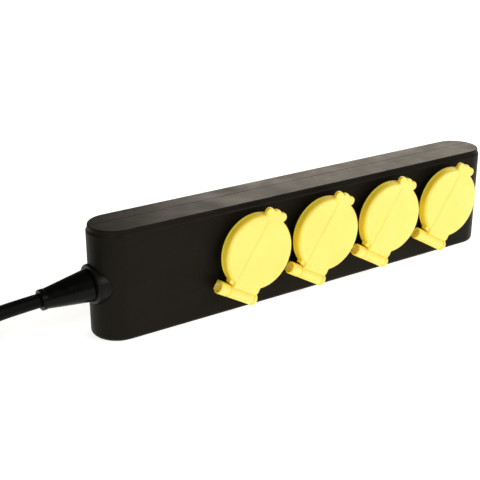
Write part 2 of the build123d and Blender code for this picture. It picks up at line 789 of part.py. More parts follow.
def plug_notch(side):
    """Flat-bottomed groove in the plug's side, where an earth clip lies."""
    half_width, depth, length = PLUG_NOTCH
    low, high = sorted((side * (PLUG_R - depth), side * (PLUG_R + 2)))
    return block((-half_width, half_width), (low, high), (plug_front() - length, plug_front() + 1))


def plug_body():
    outline = Polyline(
        (0, 0),
        (CORD_R + 1.6, 0),
        (CORD_R + 3.0, PLUG_RELIEF),
        (PLUG_R, PLUG_RELIEF + PLUG_SHOULDER),
        (PLUG_R, plug_front()),
        (0, plug_front()),
        close=True,
    )
    body = revolve(Plane.XZ * make_face(outline), Axis.Z)
    body -= disc(PLUG_FACE_R, plug_front() - PLUG_FACE_THICK + 1.5, plug_front() + 1)
    for side in (-1, 1):
        body -= plug_notch(side)
    return plug_place().location * body


def plug_face():
    low = plug_front() - PLUG_FACE_THICK + 1.5
    face = disc(PLUG_FACE_R - 0.02, low, plug_front() + 0.5)
    for side in (-1, 1):
        face -= disc(PLUG_PIN_ROOT_R + 0.02, low - 1, plug_front() + 2, side * PIN_SPACING / 2)
        face -= plug_notch(side)
    return plug_place().location * face


def plug_pins():
    pins = []
    root = plug_front() - PLUG_FACE_THICK + 1.5
    face = plug_front() + 0.5
    for side in (-1, 1):
        pin = disc(PLUG_PIN_R, face, face + PLUG_PIN_LENGTH, side * PIN_SPACING / 2)
        tip = pin.edges().filter_by(GeomType.CIRCLE).sort_by(Axis.Z)[-1]
        pin = fillet(tip, PLUG_PIN_TIP) + disc(PLUG_PIN_ROOT_R, root, face, side * PIN_SPACING / 2)
        pins.append(plug_place().location * pin)
    return Compound(children=pins)


def plug_earth_clips():
    clips = []
    reach = PLUG_CLIP_WIDTH / 2
    for side in (-1, 1):
        low, high = sorted((side * (PLUG_R - PLUG_NOTCH[1]), side * (PLUG_R - 0.5)))
        clip = block((-reach, reach), (low, high), (plug_front() - 11.8, plug_front() - 0.3))
        clips.append(plug_place().location * clip)
    return Compound(children=clips)


def terminal_places():
    """Where each core meets its rail: name, end of the rail and side of the block."""
    angle = math.radians(TILT)
    shift = PIN_SPACING / 2
    upper_x = SOCKET_X1 - shift * math.cos(angle) - RAIL_OVERHANG
    lower_x = SOCKET_X1 + shift * math.cos(angle) - RAIL_OVERHANG
    strip_y = FRONT_Y - STRIP_FRONT
    v = EARTH_RAIL_INSET - PRONG_INNER
    earth = (
        SOCKET_X1 + v * math.sin(angle) - EARTH_RAIL_OVERHANG,
        FRONT_Y - (CUP_FLOOR - FLOOR_THICK - 2 * EARTH_THICK),
        SOCKET_Z + v * math.cos(angle),
    )
    return {
        "live": (upper_x, strip_y, SOCKET_Z + shift * math.sin(angle)),
        "neutral": (lower_x, strip_y, SOCKET_Z - shift * math.sin(angle)),
        "earth": earth,
    }


def terminal_blocks():
    """Brass block on the end of each rail, where its core ends."""
    blocks = []
    for name, (x, y, z) in terminal_places().items():
        low, high = (y - TERMINAL, y) if name != "earth" else (y, y + TERMINAL)
        block_body = block((x, x + TERMINAL), (low, high), (z - TERMINAL / 2, z + TERMINAL / 2))
        blocks.append(block_body)
    return Compound(children=blocks)


def core_route(name):
    x, y, z = terminal_places()[name]
    middle = y - TERMINAL / 2 if name != "earth" else y + TERMINAL / 2
    start_y, start_z = {"live": (0.0, 2.0), "neutral": (1.7, -1.0), "earth": (-1.7, -1.0)}[name]
    cord_z = SLEEVE_TIP_Z + (CORD_END_X - SLEEVE_TIP_X) * math.tan(math.radians(DROOP))
    return [
        (CORD_END_X + 0.4, start_y, cord_z + start_z),
        (CORD_END_X + CORE_STRAIGHT, start_y, cord_z + start_z),
        (x - CORE_STRAIGHT, middle, z),
        (x, middle, z),
    ]


def main():
    outside = envelope()
    save("front_shell", front_shell(outside))
    save("rear_shell", rear_shell(outside))
    save("shell_seal", shell_seal())
    save("housing_screws", housing_screws())
    save("bracket_screws", bracket_screws())
    save("live_rail", contact_rail(-1))
    save("neutral_rail", contact_rail(1))
    save("earth_rail", earth_rail())
    save("contact_carrier", contact_carrier())
    save("terminal_blocks", terminal_blocks())
    for name in ("live", "neutral", "earth"):
        save(name + "_core", core_wire(core_route(name)))

    per_socket = {
        "socket_insert": socket_insert(),
        "insert_seal": insert_seal(),
        "earth_clip": earth_clip(),
        "lid": lid(),
        "lid_seal": lid_seal(),
        "hinge_bracket": hinge_bracket(),
        "hinge_pin": hinge_pin(),
        "lid_spring": lid_spring(),
    }
    for name, shape in per_socket.items():
        for number in range(1, SOCKET_COUNT + 1):
            save(name + "_" + str(number), at_socket(number, shape))

    save("cable_gland", cable_gland(outside))
    save("strain_relief", strain_relief())
    save("cord_inner_end", cord_inner_end())
    save("cord_clamp", cord_clamp())
    save("clamp_screws", clamp_screws())
    save("cord", cord_tube("cord", LEAD_ROUTE))
    save("cord_hank", cord_hank())
    save("cord_tail", cord_tube("cord_tail", TAIL_ROUTE))
    save("hank_ties", hank_ties())
    save("plug_body", plug_body())
    save("plug_face", plug_face())
    save("plug_pins", plug_pins())
    save("plug_earth_clips", plug_earth_clips())


main()
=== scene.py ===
"""Looks of an outdoor four-way socket strip with sprung yellow lids.

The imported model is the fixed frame. Each class below builds the visible pieces of
one sub-assembly in that frame and dresses them. Sizes are in millimetres and become
metres when a mesh is made.
"""

import json
import logging
import math
from collections.abc import Callable, Iterable, Sequence
from dataclasses import dataclass, field
from enum import Enum

import bmesh
import bpy
from mathutils import Matrix, Vector


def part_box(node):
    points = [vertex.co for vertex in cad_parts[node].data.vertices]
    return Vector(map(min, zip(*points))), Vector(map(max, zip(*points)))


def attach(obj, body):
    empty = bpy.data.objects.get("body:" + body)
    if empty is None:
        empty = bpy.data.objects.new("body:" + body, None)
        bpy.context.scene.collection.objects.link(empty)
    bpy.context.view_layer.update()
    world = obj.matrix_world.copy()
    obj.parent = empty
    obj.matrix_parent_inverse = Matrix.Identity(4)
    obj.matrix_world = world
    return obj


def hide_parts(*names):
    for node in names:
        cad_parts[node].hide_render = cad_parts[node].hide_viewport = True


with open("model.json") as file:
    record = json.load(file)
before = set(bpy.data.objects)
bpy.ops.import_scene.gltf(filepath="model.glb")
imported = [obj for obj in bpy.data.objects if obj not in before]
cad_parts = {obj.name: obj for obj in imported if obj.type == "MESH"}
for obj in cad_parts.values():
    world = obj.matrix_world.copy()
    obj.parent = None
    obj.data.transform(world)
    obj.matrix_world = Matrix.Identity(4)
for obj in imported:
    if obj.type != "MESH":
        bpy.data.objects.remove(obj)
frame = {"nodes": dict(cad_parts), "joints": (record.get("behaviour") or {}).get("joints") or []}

LOG = logging.getLogger("socket_strip")
MM = 0.001
HOUSING = "housing"
SPECK_RATIO = 1.7
EDGE_LIGHT_PATCH_MM = 9.0
WAVE_PERIOD = 0.314
Point2 = tuple[float, float]
Point3 = tuple[float, float, float]
Corner = tuple[float, float, float]


# ---- colour and shader nodes ------------------------------------------------
def linear(hex_colour: str) -> tuple[float, float, float, float]:
    """Turn an sRGB hex colour into linear values.

    Args:
        hex_colour: colour such as "#f2c81e".

    Returns:
        Linear red, green and blue, and an alpha of 1.
    """
    values = []
    for start in (1, 3, 5):
        share = int(hex_colour[start : start + 2], 16) / 255
        values.append(share / 12.92 if share <= 0.04045 else ((share + 0.055) / 1.055) ** 2.4)
    return (*values, 1.0)


def add_node(
    tree: bpy.types.NodeTree,
    kind: str,
    settings: dict[str | int, object] | None = None,
    links: dict[str | int, bpy.types.NodeSocket] | None = None,
) -> bpy.types.Node:
    """Add a node with its settings and links.

    Args:
        tree: tree that takes the node.
        kind: the node's type.
        settings: values for its inputs, by name or number, or for its properties.
        links: outputs of other nodes, by the name or number of the input they feed.

    Returns:
        The new node.
    """
    node = tree.nodes.new(kind)
    for name, value in (settings or {}).items():
        if isinstance(name, int) or name in node.inputs:
            node.inputs[name].default_value = value
        else:
            setattr(node, name, value)
    for name, source in (links or {}).items():
        tree.links.new(source, node.inputs[name])
    return node


# ---- finishes ---------------------------------------------------------------
class Texture(Enum):
    """How a surface was made, which decides its small relief."""

    ERODED = "moulded against a spark-eroded steel face"
    POLISHED = "moulded against a polished steel face"
    EXTRUDED = "drawn through a die"
    ROLLED = "rolled or stamped metal"
    PLATED = "barrel-plated metal"


@dataclass(frozen=True)
class Finish:
    """One real material and its surface.

    Attributes:
        name: what the material is.
        base: sRGB hex of the main colour.
        tone: sRGB hex that the colour drifts towards.
        texture: how the surface was made.
        roughness: mean roughness.
        spread: how far the roughness wanders from its mean.
        ior: index of refraction, left at the default on metals.
        metallic: 1 on bare metal.
        grain_mm: spacing of the small relief.
        depth_mm: depth of the small relief.
        drift_mm: size of the slow colour patches.
        edge: sRGB hex of a painted highlight along edges, or None where edges get none.
        edge_mm: reach of the painted edge highlight.
        subsurface: share of light that travels inside the material.
        glow_mm: how far that light travels in red, green and blue.
        side: sRGB hex of painted shade on walls that tilt away from the front face, or None where
            they match the face.
        specular: share of the full mirror reflection.
    """

    name: str
    base: str
    tone: str
    texture: Texture
    roughness: float
    spread: float = 0.06
    ior: float = 1.5
    metallic: float = 0.0
    grain_mm: float = 0.8
    depth_mm: float = 0.02
    drift_mm: float = 40.0
    edge: str | None = None
    edge_mm: float = 0.5
    subsurface: float = 0.0
    glow_mm: Point3 = (1.0, 0.6, 0.2)
    side: str | None = None
    specular: float = 0.5

    def material(self) -> bpy.types.Material:
        """Return the material of this finish, made on first use."""
        found = bpy.data.materials.get(self.name)
        if found:
            return found
        made = bpy.data.materials.new(self.name)
        made.use_nodes = True
        tree = made.node_tree
        tree.nodes.clear()
        where = add_node(tree, "ShaderNodeTexCoord").outputs["Object"]
        relief = self.relief(tree, where)
        normal = add_node(
            tree,
            "ShaderNodeBump",
            {"Strength": 1.0, "Distance": self.depth_mm * MM},
            {"Height": relief},
        ).outputs["Normal"]
        shader = add_node(
            tree,
            "ShaderNodeBsdfPrincipled",
            {
                "Metallic": self.metallic,
                "IOR": self.ior,
                "Specular IOR Level": self.specular,
                "Subsurface Weight": self.subsurface,
                "Subsurface Scale": MM,
                "Subsurface Radius": self.glow_mm,
            },
            {
                "Base Color": self.colour(tree, where),
                "Roughness": self.gloss(tree, where),
                "Normal": normal,
            },
        )
        add_node(tree, "ShaderNodeOutputMaterial", None, {"Surface": shader.outputs[0]})
        return made

    def noise(
        self, tree: bpy.types.NodeTree, where: bpy.types.NodeSocket, size_mm: float, detail: float
    ) -> bpy.types.NodeSocket:
        """Make noise with patches of a real size.

        Args:
            tree: tree that takes the node.
            where: coordinates in metres.
            size_mm: size of one patch.
            detail: how many finer layers are added.

        Returns:
            The noise, around 0.5.
        """
        settings = {"Scale": 1 / (size_mm * MM), "Detail": detail, "Roughness": 0.55}
        return add_node(tree, "ShaderNodeTexNoise", settings, {"Vector": where}).outputs[0]

    def stretched(
        self, tree: bpy.types.NodeTree, where: bpy.types.NodeSocket, shares: Point3
    ) -> bpy.types.NodeSocket:
        """Return the coordinates scaled along each axis, so that a pattern runs in lines."""
        settings = {"operation": "MULTIPLY", 1: shares}
        return add_node(tree, "ShaderNodeVectorMath", settings, {0: where}).outputs[0]

    def ranged(
        self, tree: bpy.types.NodeTree, value: bpy.types.NodeSocket, source: Point2, target: Point2
    ) -> bpy.types.NodeSocket:
        """Return a value moved from one range to another and held inside it."""
        settings = {1: source[0], 2: source[1], 3: target[0], 4: target[1]}
        return add_node(tree, "ShaderNodeMapRange", settings, {0: value}).outputs[0]

    def blended(
        self,
        tree: bpy.types.NodeTree,
        share: bpy.types.NodeSocket,
        first: str | bpy.types.NodeSocket,
        second: str,
    ) -> bpy.types.NodeSocket:
        """Mix two colours.

        Args:
            tree: tree that takes the node.
            share: share of the second colour.
            first: hex colour or the output of another node.
            second: hex colour.

        Returns:
            The mixed colour.
        """
        settings = {"data_type": "RGBA", 7: linear(second)}
        links = {0: share}
        if isinstance(first, str):
            settings[6] = linear(first)
        else:
            links[6] = first
        return add_node(tree, "ShaderNodeMix", settings, links).outputs[2]

    def relief(
        self, tree: bpy.types.NodeTree, where: bpy.types.NodeSocket
    ) -> bpy.types.NodeSocket:
        """Return the height of the small relief that the making left."""
        if self.texture is Texture.ERODED:
            fine = self.noise(tree, where, self.grain_mm, 3.0)
            return self.ranged(tree, fine, (0.3, 0.7), (0.0, 1.0))
        if self.texture is Texture.EXTRUDED:
            return self.noise(tree, where, self.grain_mm, 4.0)
        if self.texture is Texture.ROLLED:
            lines = self.stretched(tree, where, (0.12, 1.0, 1.0))
            return self.noise(tree, lines, self.grain_mm, 3.0)
        return self.noise(tree, where, self.grain_mm, 1.0)

    def gloss(self, tree: bpy.types.NodeTree, where: bpy.types.NodeSocket) -> bpy.types.NodeSocket:
        """Return the roughness, which wanders with handling and flow of the melt."""
        patches = self.noise(tree, where, self.drift_mm * 0.35, 4.0)
        limits = (self.roughness - self.spread, self.roughness + self.spread)
        return self.ranged(tree, patches, (0.3, 0.7), limits)

    def colour(self, tree: bpy.types.NodeTree, where: bpy.types.NodeSocket) -> bpy.types.NodeSocket:
        """Return the colour, with its slow drift, its fine specks, painted shade on walls that tilt
        aside and a painted highlight along its edges.
        """
        slow = self.noise(tree, where, self.drift_mm, 2.0)
        drift = self.ranged(tree, slow, (0.35, 0.65), (0.0, 0.7))
        colour = self.blended(tree, drift, self.base, self.tone)
        fine = self.noise(tree, where, self.grain_mm * SPECK_RATIO, 2.0)
        specks = self.ranged(tree, fine, (0.52, 0.75), (0.0, 0.45))
        colour = self.blended(tree, specks, colour, self.tone)
        # Painted shade: walls that tilt away from the front face turn towards the side colour.
        if self.side is not None:
            colour = self.blended(tree, self.painted_shade_share(tree), colour, self.side)
        if self.edge is None:
            return colour
        # Painted highlight: near edges the colour turns towards the edge colour, broken into
        # patches by noise.
        reach = {"samples": 6, "Radius": self.edge_mm * MM}
        soft = add_node(tree, "ShaderNodeBevel", reach).outputs[0]
        hard = add_node(tree, "ShaderNodeNewGeometry").outputs["Normal"]
        product = {"operation": "DOT_PRODUCT"}
        likeness = add_node(tree, "ShaderNodeVectorMath", product, {0: soft, 1: hard})
        painted_edge_light = self.ranged(tree, likeness.outputs["Value"], (0.98, 0.80), (0.0, 0.8))
        edge_light_patches = self.noise(tree, where, EDGE_LIGHT_PATCH_MM, 4.0)
        patches = self.ranged(tree, edge_light_patches, (0.35, 0.7), (0.35, 1.0))
        share = add_node(tree, "ShaderNodeMath", {"operation": "MULTIPLY"}, {0: painted_edge_light, 1: patches})
        return self.blended(tree, share.outputs[0], colour, self.edge)

    def painted_shade_share(self, tree: bpy.types.NodeTree) -> bpy.types.NodeSocket:
        """Return the share of the painted shade colour, which grows as a wall tilts away from the
        front face.
        """
        normal = add_node(tree, "ShaderNodeTexCoord").outputs["Normal"]
        settings = {"operation": "DOT_PRODUCT", 1: (0.0, -1.0, 0.0)}
        facing = add_node(tree, "ShaderNodeVectorMath", settings, {0: normal})
        return self.ranged(tree, facing.outputs["Value"], (0.93, 0.35), (0.0, 1.0))


@dataclass(frozen=True)
class StripedInsulation(Finish):
    """Core insulation in two colours, as on an earth wire."""

    stripe: str = "#d8c321"
    stripe_mm: float = 1.6

    def colour(self, tree: bpy.types.NodeTree, where: bpy.types.NodeSocket) -> bpy.types.NodeSocket:
        """Return the two colours in bands along the wire."""
        scale = WAVE_PERIOD / (self.stripe_mm * MM)
        settings = {"bands_direction": "Z", "Scale": scale, "Distortion": 0.3}
        bands = add_node(tree, "ShaderNodeTexWave", settings, {"Vector": where}).outputs[1]
        sharp = self.ranged(tree, bands, (0.45, 0.55), (0.0, 1.0))
        return self.blended(tree, sharp, self.base, self.stripe)


# The real grain of eroded and drawn faces is 0.1 to 0.2 mm. It is too fine to show, so it
# is drawn 3 to 7 times coarser.
# Where an entry gives an edge colour, its edges get a painted highlight in that colour.
FINISHES: dict[str, Finish] = {
    # Polypropylene moulded against a spark-eroded face: near black with a brown cast, an even
    # satin that turns paler where it is seen along the surface, and a grey painted highlight on its
    # edges.
    "housing": Finish(
        "black_polypropylene_eroded", "#15120c", "#1a1710", Texture.ERODED, 0.42,
        ior=1.49, grain_mm=0.7, depth_mm=0.035, drift_mm=55.0, edge="#35322b", edge_mm=0.4,
        specular=0.06,
    ),
    # ABS from a polished mould, a little translucent: light that enters the lid comes back
    # deeper yellow, so thin edges turn amber. Side walls are painted amber as well, a painted
    # shade.
    "lid_yellow": Finish(
        "yellow_abs_satin", "#f8e576", "#f6e069", Texture.POLISHED, 0.42,
        ior=1.53, grain_mm=1.6, depth_mm=0.012, drift_mm=26.0,
        subsurface=0.45, glow_mm=(2.4, 1.5, 0.3), side="#ffdc3a",
    ),
    # Glass-filled polyamide: black, denser and a little glossier than the housing.
    "insert_plastic": Finish(
        "black_polyamide_moulded", "#100f0d", "#161512", Texture.ERODED, 0.42,
        ior=1.53, grain_mm=0.6, depth_mm=0.015, edge="#2c2a26", edge_mm=0.3,
        specular=0.12,
    ),
    # Polyamide cable gland: satin grey-black with a grey painted highlight on its edges.
    "gland_plastic": Finish(
        "black_polyamide_gland", "#0d0c0a", "#131210", Texture.ERODED, 0.36,
        ior=1.53, grain_mm=0.6, depth_mm=0.02, drift_mm=14.0, edge="#33312d", edge_mm=0.5,
        specular=0.09,
    ),
    # Soft PVC sleeve: deep black and the glossiest of the black pieces.
    "gland_rubber": Finish(
        "soft_pvc_sleeve", "#050504", "#080807", Texture.POLISHED, 0.28,
        ior=1.52, grain_mm=2.2, depth_mm=0.03, drift_mm=12.0, edge="#201f1d", edge_mm=0.4,
        specular=0.09,
    ),
    # Rubber jacket drawn through a die and dusted with talc: matt with a faint bloom.
    "cord_rubber": Finish(
        "black_rubber_jacket", "#050504", "#0a0a09", Texture.EXTRUDED, 0.5,
        ior=1.52, grain_mm=1.1, depth_mm=0.05, drift_mm=18.0, specular=0.06,
    ),
    # Moulded rubber plug: matt black with the eroded face of its mould.
    "plug_rubber": Finish(
        "black_rubber_plug", "#131312", "#1d1c1a", Texture.ERODED, 0.55,
        ior=1.52, grain_mm=0.8, depth_mm=0.05, drift_mm=16.0, edge="#33312e", edge_mm=0.5,
    ),
    # Polyamide plug face: harder and glossier than the rubber round it.
    "plug_plastic": Finish(
        "black_polyamide_plug_face", "#171716", "#201f1e", Texture.ERODED, 0.38,
        ior=1.53, grain_mm=0.6, depth_mm=0.015, edge="#3f3d3a", edge_mm=0.3,
    ),
    # EPDM seal: dead matt grey-black.
    "seal_rubber": Finish(
        "epdm_seal", "#1d1d1c", "#262625", Texture.EXTRUDED, 0.72,
        ior=1.5, grain_mm=0.6, depth_mm=0.03, drift_mm=10.0,
    ),
    # Nylon cable tie: black, smooth, slightly waxy.
    "tie_plastic": Finish(
        "black_nylon_tie", "#161617", "#202021", Texture.POLISHED, 0.34,
        ior=1.53, grain_mm=1.5, depth_mm=0.01, drift_mm=9.0, subsurface=0.02,
    ),
    # PBT carrier: off-white, matt.
    "carrier_plastic": Finish(
        "white_pbt_carrier", "#d6d1c3", "#c9c3b2", Texture.ERODED, 0.5,
        ior=1.55, grain_mm=0.6, depth_mm=0.015, subsurface=0.05,
    ),
    # Stamped brass strip: warm yellow metal with fine lines from the rolls.
    "contact_brass": Finish(
        "rolled_brass", "#d9b56a", "#c79c4e", Texture.ROLLED, 0.30,
        metallic=1.0, grain_mm=0.5, depth_mm=0.006, drift_mm=12.0,
    ),
    # Zinc-plated screw: pale grey metal, cloudy from the barrel.
    "zinc_steel": Finish(
        "zinc_plated_steel", "#c3c6c8", "#a9adb2", Texture.PLATED, 0.34, spread=0.1,
        metallic=1.0, grain_mm=0.9, depth_mm=0.012, drift_mm=4.0,
    ),
    # Drawn stainless wire for hinge pins and springs: darker, with lines along it.
    "pin_steel": Finish(
        "drawn_stainless_steel", "#a3a3a1", "#8a8a88", Texture.ROLLED, 0.28,
        metallic=1.0, grain_mm=0.4, depth_mm=0.004, drift_mm=5.0,
    ),
    # Nickel-plated brass plug pins: bright, warm white metal with handling marks.
    "nickel_pin": Finish(
        "nickel_plated_brass", "#d3cec2", "#bdb6a6", Texture.PLATED, 0.19, spread=0.07,
        metallic=1.0, grain_mm=1.2, depth_mm=0.006, drift_mm=6.0,
    ),
    # PVC core insulation, drawn, slightly glossy.
    "core_brown": Finish(
        "brown_pvc_core", "#6b3a1f", "#5b3019", Texture.EXTRUDED, 0.36, depth_mm=0.01
    ),
    "core_blue": Finish(
        "blue_pvc_core", "#1f5fa8", "#1a528f", Texture.EXTRUDED, 0.36, depth_mm=0.01
    ),
    "core_green_yellow": StripedInsulation(
        "green_yellow_pvc_core", "#2f8a3a", "#28762f", Texture.EXTRUDED, 0.36, depth_mm=0.01
    ),
}


# ---- mesh helpers -----------------------------------------------------------
def frame_matrix(origin: Vector, z_axis: Vector, x_axis: Vector) -> Matrix:
    """Build a placing matrix.

    Args:
        origin: the place, in metres.
        z_axis: direction of the local z axis.
        x_axis: rough direction of the local x axis.

    Returns:
        The matrix from local coordinates to those of the frame.
    """
    z = z_axis.normalized()
    x = (x_axis - z * x_axis.dot(z)).normalized()
    made = Matrix((x, z.cross(x), z)).transposed().to_4x4()
    made.translation = origin
    return made


def soften(corners: Sequence[Corner], closed: bool = False, steps: int = 5) -> list[Point2]:
    """Round the corners of an outline with true arcs.

    Args:
        corners: (x, y, radius) of each corner, with radius 0 for a sharp one.
        closed: whether the last corner joins the first.
        steps: number of pieces in each arc.

    Returns:
        The points of the rounded outline.
    """
    points: list[Point2] = []
    count = len(corners)
    for index, (x, y, radius) in enumerate(corners):
        inner = closed or 0 < index < count - 1
        if radius <= 0 or not inner:
            points.append((x, y))
            continue
        here = Vector((x, y))
        back = Vector(corners[index - 1][:2]) - here
        ahead = Vector(corners[(index + 1) % count][:2]) - here
        half = back.angle(ahead) / 2
        reach = min(radius / math.tan(half), 0.49 * back.length, 0.49 * ahead.length)
        true_radius = reach * math.tan(half)
        to_centre = back.normalized() + ahead.normalized()
        centre = here + to_centre.normalized() * true_radius / math.sin(half)
        start = here + back.normalized() * reach - centre
        end = here + ahead.normalized() * reach - centre
        turn = math.atan2(start.x * end.y - start.y * end.x, start.dot(end))
        for step in range(steps + 1):
            angle = turn * step / steps
            across = Vector((-start.y, start.x))
            spot = centre + start * math.cos(angle) + across * math.sin(angle)
            points.append((spot.x, spot.y))
    return points


def make_object(name: str, bm: bmesh.types.BMesh, place: Matrix | None = None) -> bpy.types.Object:
    """Turn a bmesh into a linked object.

    Args:
        name: name of the piece.
        bm: the mesh, which is freed.
        place: where the object stands, or None at the frame's origin.

    Returns:
        The object.
    """
    bmesh.ops.recalc_face_normals(bm, faces=bm.faces)
    mesh = bpy.data.meshes.new(name)
    bm.to_mesh(mesh)
    bm.free()
    made = bpy.data.objects.new(name, mesh)
    bpy.context.scene.collection.objects.link(made)
    if place is not None:
        made.matrix_world = place
    return made


def lathe(
    name: str,
    profile: Sequence[Point2],
    place: Matrix,
    segments: int = 96,
    swell: Callable[[float, float, float], float] | None = None,
) -> bpy.types.Object:
    """Revolve a profile round the local z axis.

    Args:
        name: name of the piece.
        profile: (radius, height) in millimetres. It starts and ends on the axis, or is a
            closed outline clear of it.
        place: where the piece stands.
        segments: steps round the axis.
        swell: extra radius in millimetres for a radius, a height and an angle.

    Returns:
        The object.
    """
    bm = bmesh.new()
    rings = []
    for radius, height in profile:
        if radius < 1e-6:
            rings.append([bm.verts.new((0, 0, height * MM))])
            continue
        ring = []
        for step in range(segments):
            angle = 2 * math.pi * step / segments
            size = radius + (swell(radius, height, angle) if swell else 0.0)
            spot = (size * MM * math.cos(angle), size * MM * math.sin(angle), height * MM)
            ring.append(bm.verts.new(spot))
        rings.append(ring)
    pairs = list(zip(rings, rings[1:]))
    if len(rings[0]) > 1 and len(rings[-1]) > 1:
        pairs.append((rings[-1], rings[0]))
    for low, high in pairs:
        for step in range(segments):
            after = (step + 1) % segments
            if len(low) == 1 and len(high) == 1:
                break
            if len(low) == 1:
                bm.faces.new((low[0], high[after], high[step]))
            elif len(high) == 1:
                bm.faces.new((low[step], low[after], high[0]))
            else:
                bm.faces.new((low[step], low[after], high[after], high[step]))
    return make_object(name, bm, place)


def oval(wide: float, high: float, core: float) -> Callable[[float, float, float], float]:
    """Return the swell that turns a round piece into an oval one outside its core radius."""

    def swell(radius: float, height: float, angle: float) -> float:
        """Return the extra radius, which is none inside the core."""
        reach = 1 / math.hypot(math.cos(angle) / wide, math.sin(angle) / high)
        return (reach - wide) * max(0.0, (radius - core) / (wide - core))

    return swell


def prism(
    name: str, outline: Sequence[Point2], low: float, high: float, place: Matrix | None = None
) -> bpy.types.Object:
    """Extrude an outline along the local z axis.

    Args:
        name: name of the piece.
        outline: (x, y) points in millimetres.
        low: lower end in millimetres.
        high: upper end in millimetres.
        place: where the piece stands.

    Returns:
        The object.
    """
    bm = bmesh.new()
    bottom = [bm.verts.new((x * MM, y * MM, low * MM)) for x, y in outline]
    top = [bm.verts.new((x * MM, y * MM, high * MM)) for x, y in outline]
    bm.faces.new(bottom)
    bm.faces.new(top)
    for index in range(len(outline)):
        after = (index + 1) % len(outline)
        bm.faces.new((bottom[index], bottom[after], top[after], top[index]))
    return make_object(name, bm, place)


def rectangle(x: Point2, y: Point2, radius: float = 0.0) -> list[Point2]:
    """Return a rectangle between two limits each way, with its corners rounded."""
    places = [(x[0], y[0]), (x[1], y[0]), (x[1], y[1]), (x[0], y[1])]
    return soften([(*place, radius) for place in places], closed=True)


def bake(obj: bpy.types.Object) -> bpy.types.Object:
    """Apply all of an object's modifiers and return it."""
    bpy.context.view_layer.update()
    graph = bpy.context.evaluated_depsgraph_get()
    mesh = bpy.data.meshes.new_from_object(obj.evaluated_get(graph))
    old, obj.data = obj.data, mesh
    obj.modifiers.clear()
    bpy.data.meshes.remove(old)
    return obj


def cut(obj: bpy.types.Object, cutters: Iterable[bpy.types.Object]) -> bpy.types.Object:
    """Take cutters away from an object.

    Args:
        obj: the piece that is cut.
        cutters: closed meshes, which are removed afterwards.

    Returns:
        The piece.
    """
    tools = list(cutters)
    for tool in tools:
        modifier = obj.modifiers.new("cut", "BOOLEAN")
        modifier.operation = "DIFFERENCE"
        modifier.solver = "EXACT"
        modifier.object = tool
    bake(obj)
    for tool in tools:
        bpy.data.objects.remove(tool)
    return obj


def smooth_shade(obj: bpy.types.Object, angle: float = 32.0) -> bpy.types.Object:
    """Shade a piece smooth, with edges sharper than an angle in degrees kept sharp."""
    obj.data.polygons.foreach_set("use_smooth", [True] * len(obj.data.polygons))
    obj.data.set_sharp_from_angle(angle=math.radians(angle))
    weighted = obj.modifiers.new("weighted", "WEIGHTED_NORMAL")
    weighted.keep_sharp = True
    weighted.weight = 80
    return bake(obj)


def mould(
    name: str, parts: Sequence[bpy.types.Object], voxel: float, passes: int
) -> bpy.types.Object:
    """Flow overlapping closed parts into one moulding with soft inner and outer corners.

    Args:
        name: name of the moulding.
        parts: meshes in one local frame, which are removed.
        voxel: grid size in millimetres.
        passes: how often the corners are smoothed.

    Returns:
        The moulding, at the frame's origin.
    """
    bm = bmesh.new()
    for part in parts:
        bm.from_mesh(part.data)
        bpy.data.objects.remove(part)
    made = make_object(name, bm)
    remesh = made.modifiers.new("remesh", "REMESH")
    remesh.mode = "VOXEL"
    remesh.voxel_size = voxel * MM
    soft = made.modifiers.new("soft", "SMOOTH")
    soft.factor = 0.5
    soft.iterations = passes
    return bake(made)


def thin(obj: bpy.types.Object, keep: float) -> bpy.types.Object:
    """Keep a share of a piece's faces, most of them where it is curved."""
    fewer = obj.modifiers.new("thin", "DECIMATE")
    fewer.ratio = keep
    return bake(obj)


def repeated(first: bpy.types.Object, count: int) -> list[bpy.types.Object]:
    """Return a piece with copies of itself, each with a mesh of its own."""
    made = [first]
    for _ in range(count - 1):
        made.append(bpy.data.objects.new(first.name, first.data.copy()))
        bpy.context.scene.collection.objects.link(made[-1])
    return made


def settle(
    obj: bpy.types.Object, body: str, slot: str, stands_for: Sequence[str] = ()
) -> bpy.types.Object:
    """Give a finished piece its finish and its body, and hide the nodes that it stands for.

    Its place is applied to the mesh, so the object itself ends at the frame's origin.

    Args:
        obj: the piece, in place.
        body: name of the body that it moves with.
        slot: material slot of the record, which also names the finish.
        stands_for: CAD nodes that it replaces.

    Returns:
        The piece.
    """
    obj.data.transform(obj.matrix_world)
    obj.matrix_world = Matrix.Identity(4)
    obj.data.materials.clear()
    obj.data.materials.append(FINISHES[slot].material())
    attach(obj, body)
    if stands_for:
        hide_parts(*stands_for)
    LOG.info("%s rides on %s", obj.name, body)
    return obj


def dress(names: Iterable[str]) -> None:
    """Give carried-over CAD nodes the finish of their own material slot."""
    for name in names:
        node = frame["nodes"][name]
        for place in node.material_slots:
            slot = place.material.name.split(".")[0]
            place.material = FINISHES[slot].material()
        LOG.info("%s keeps its CAD mesh", name)


# ---- housing ----------------------------------------------------------------
class Side(Enum):
    """The two half shells."""

    FRONT = "front_shell"
    REAR = "rear_shell"


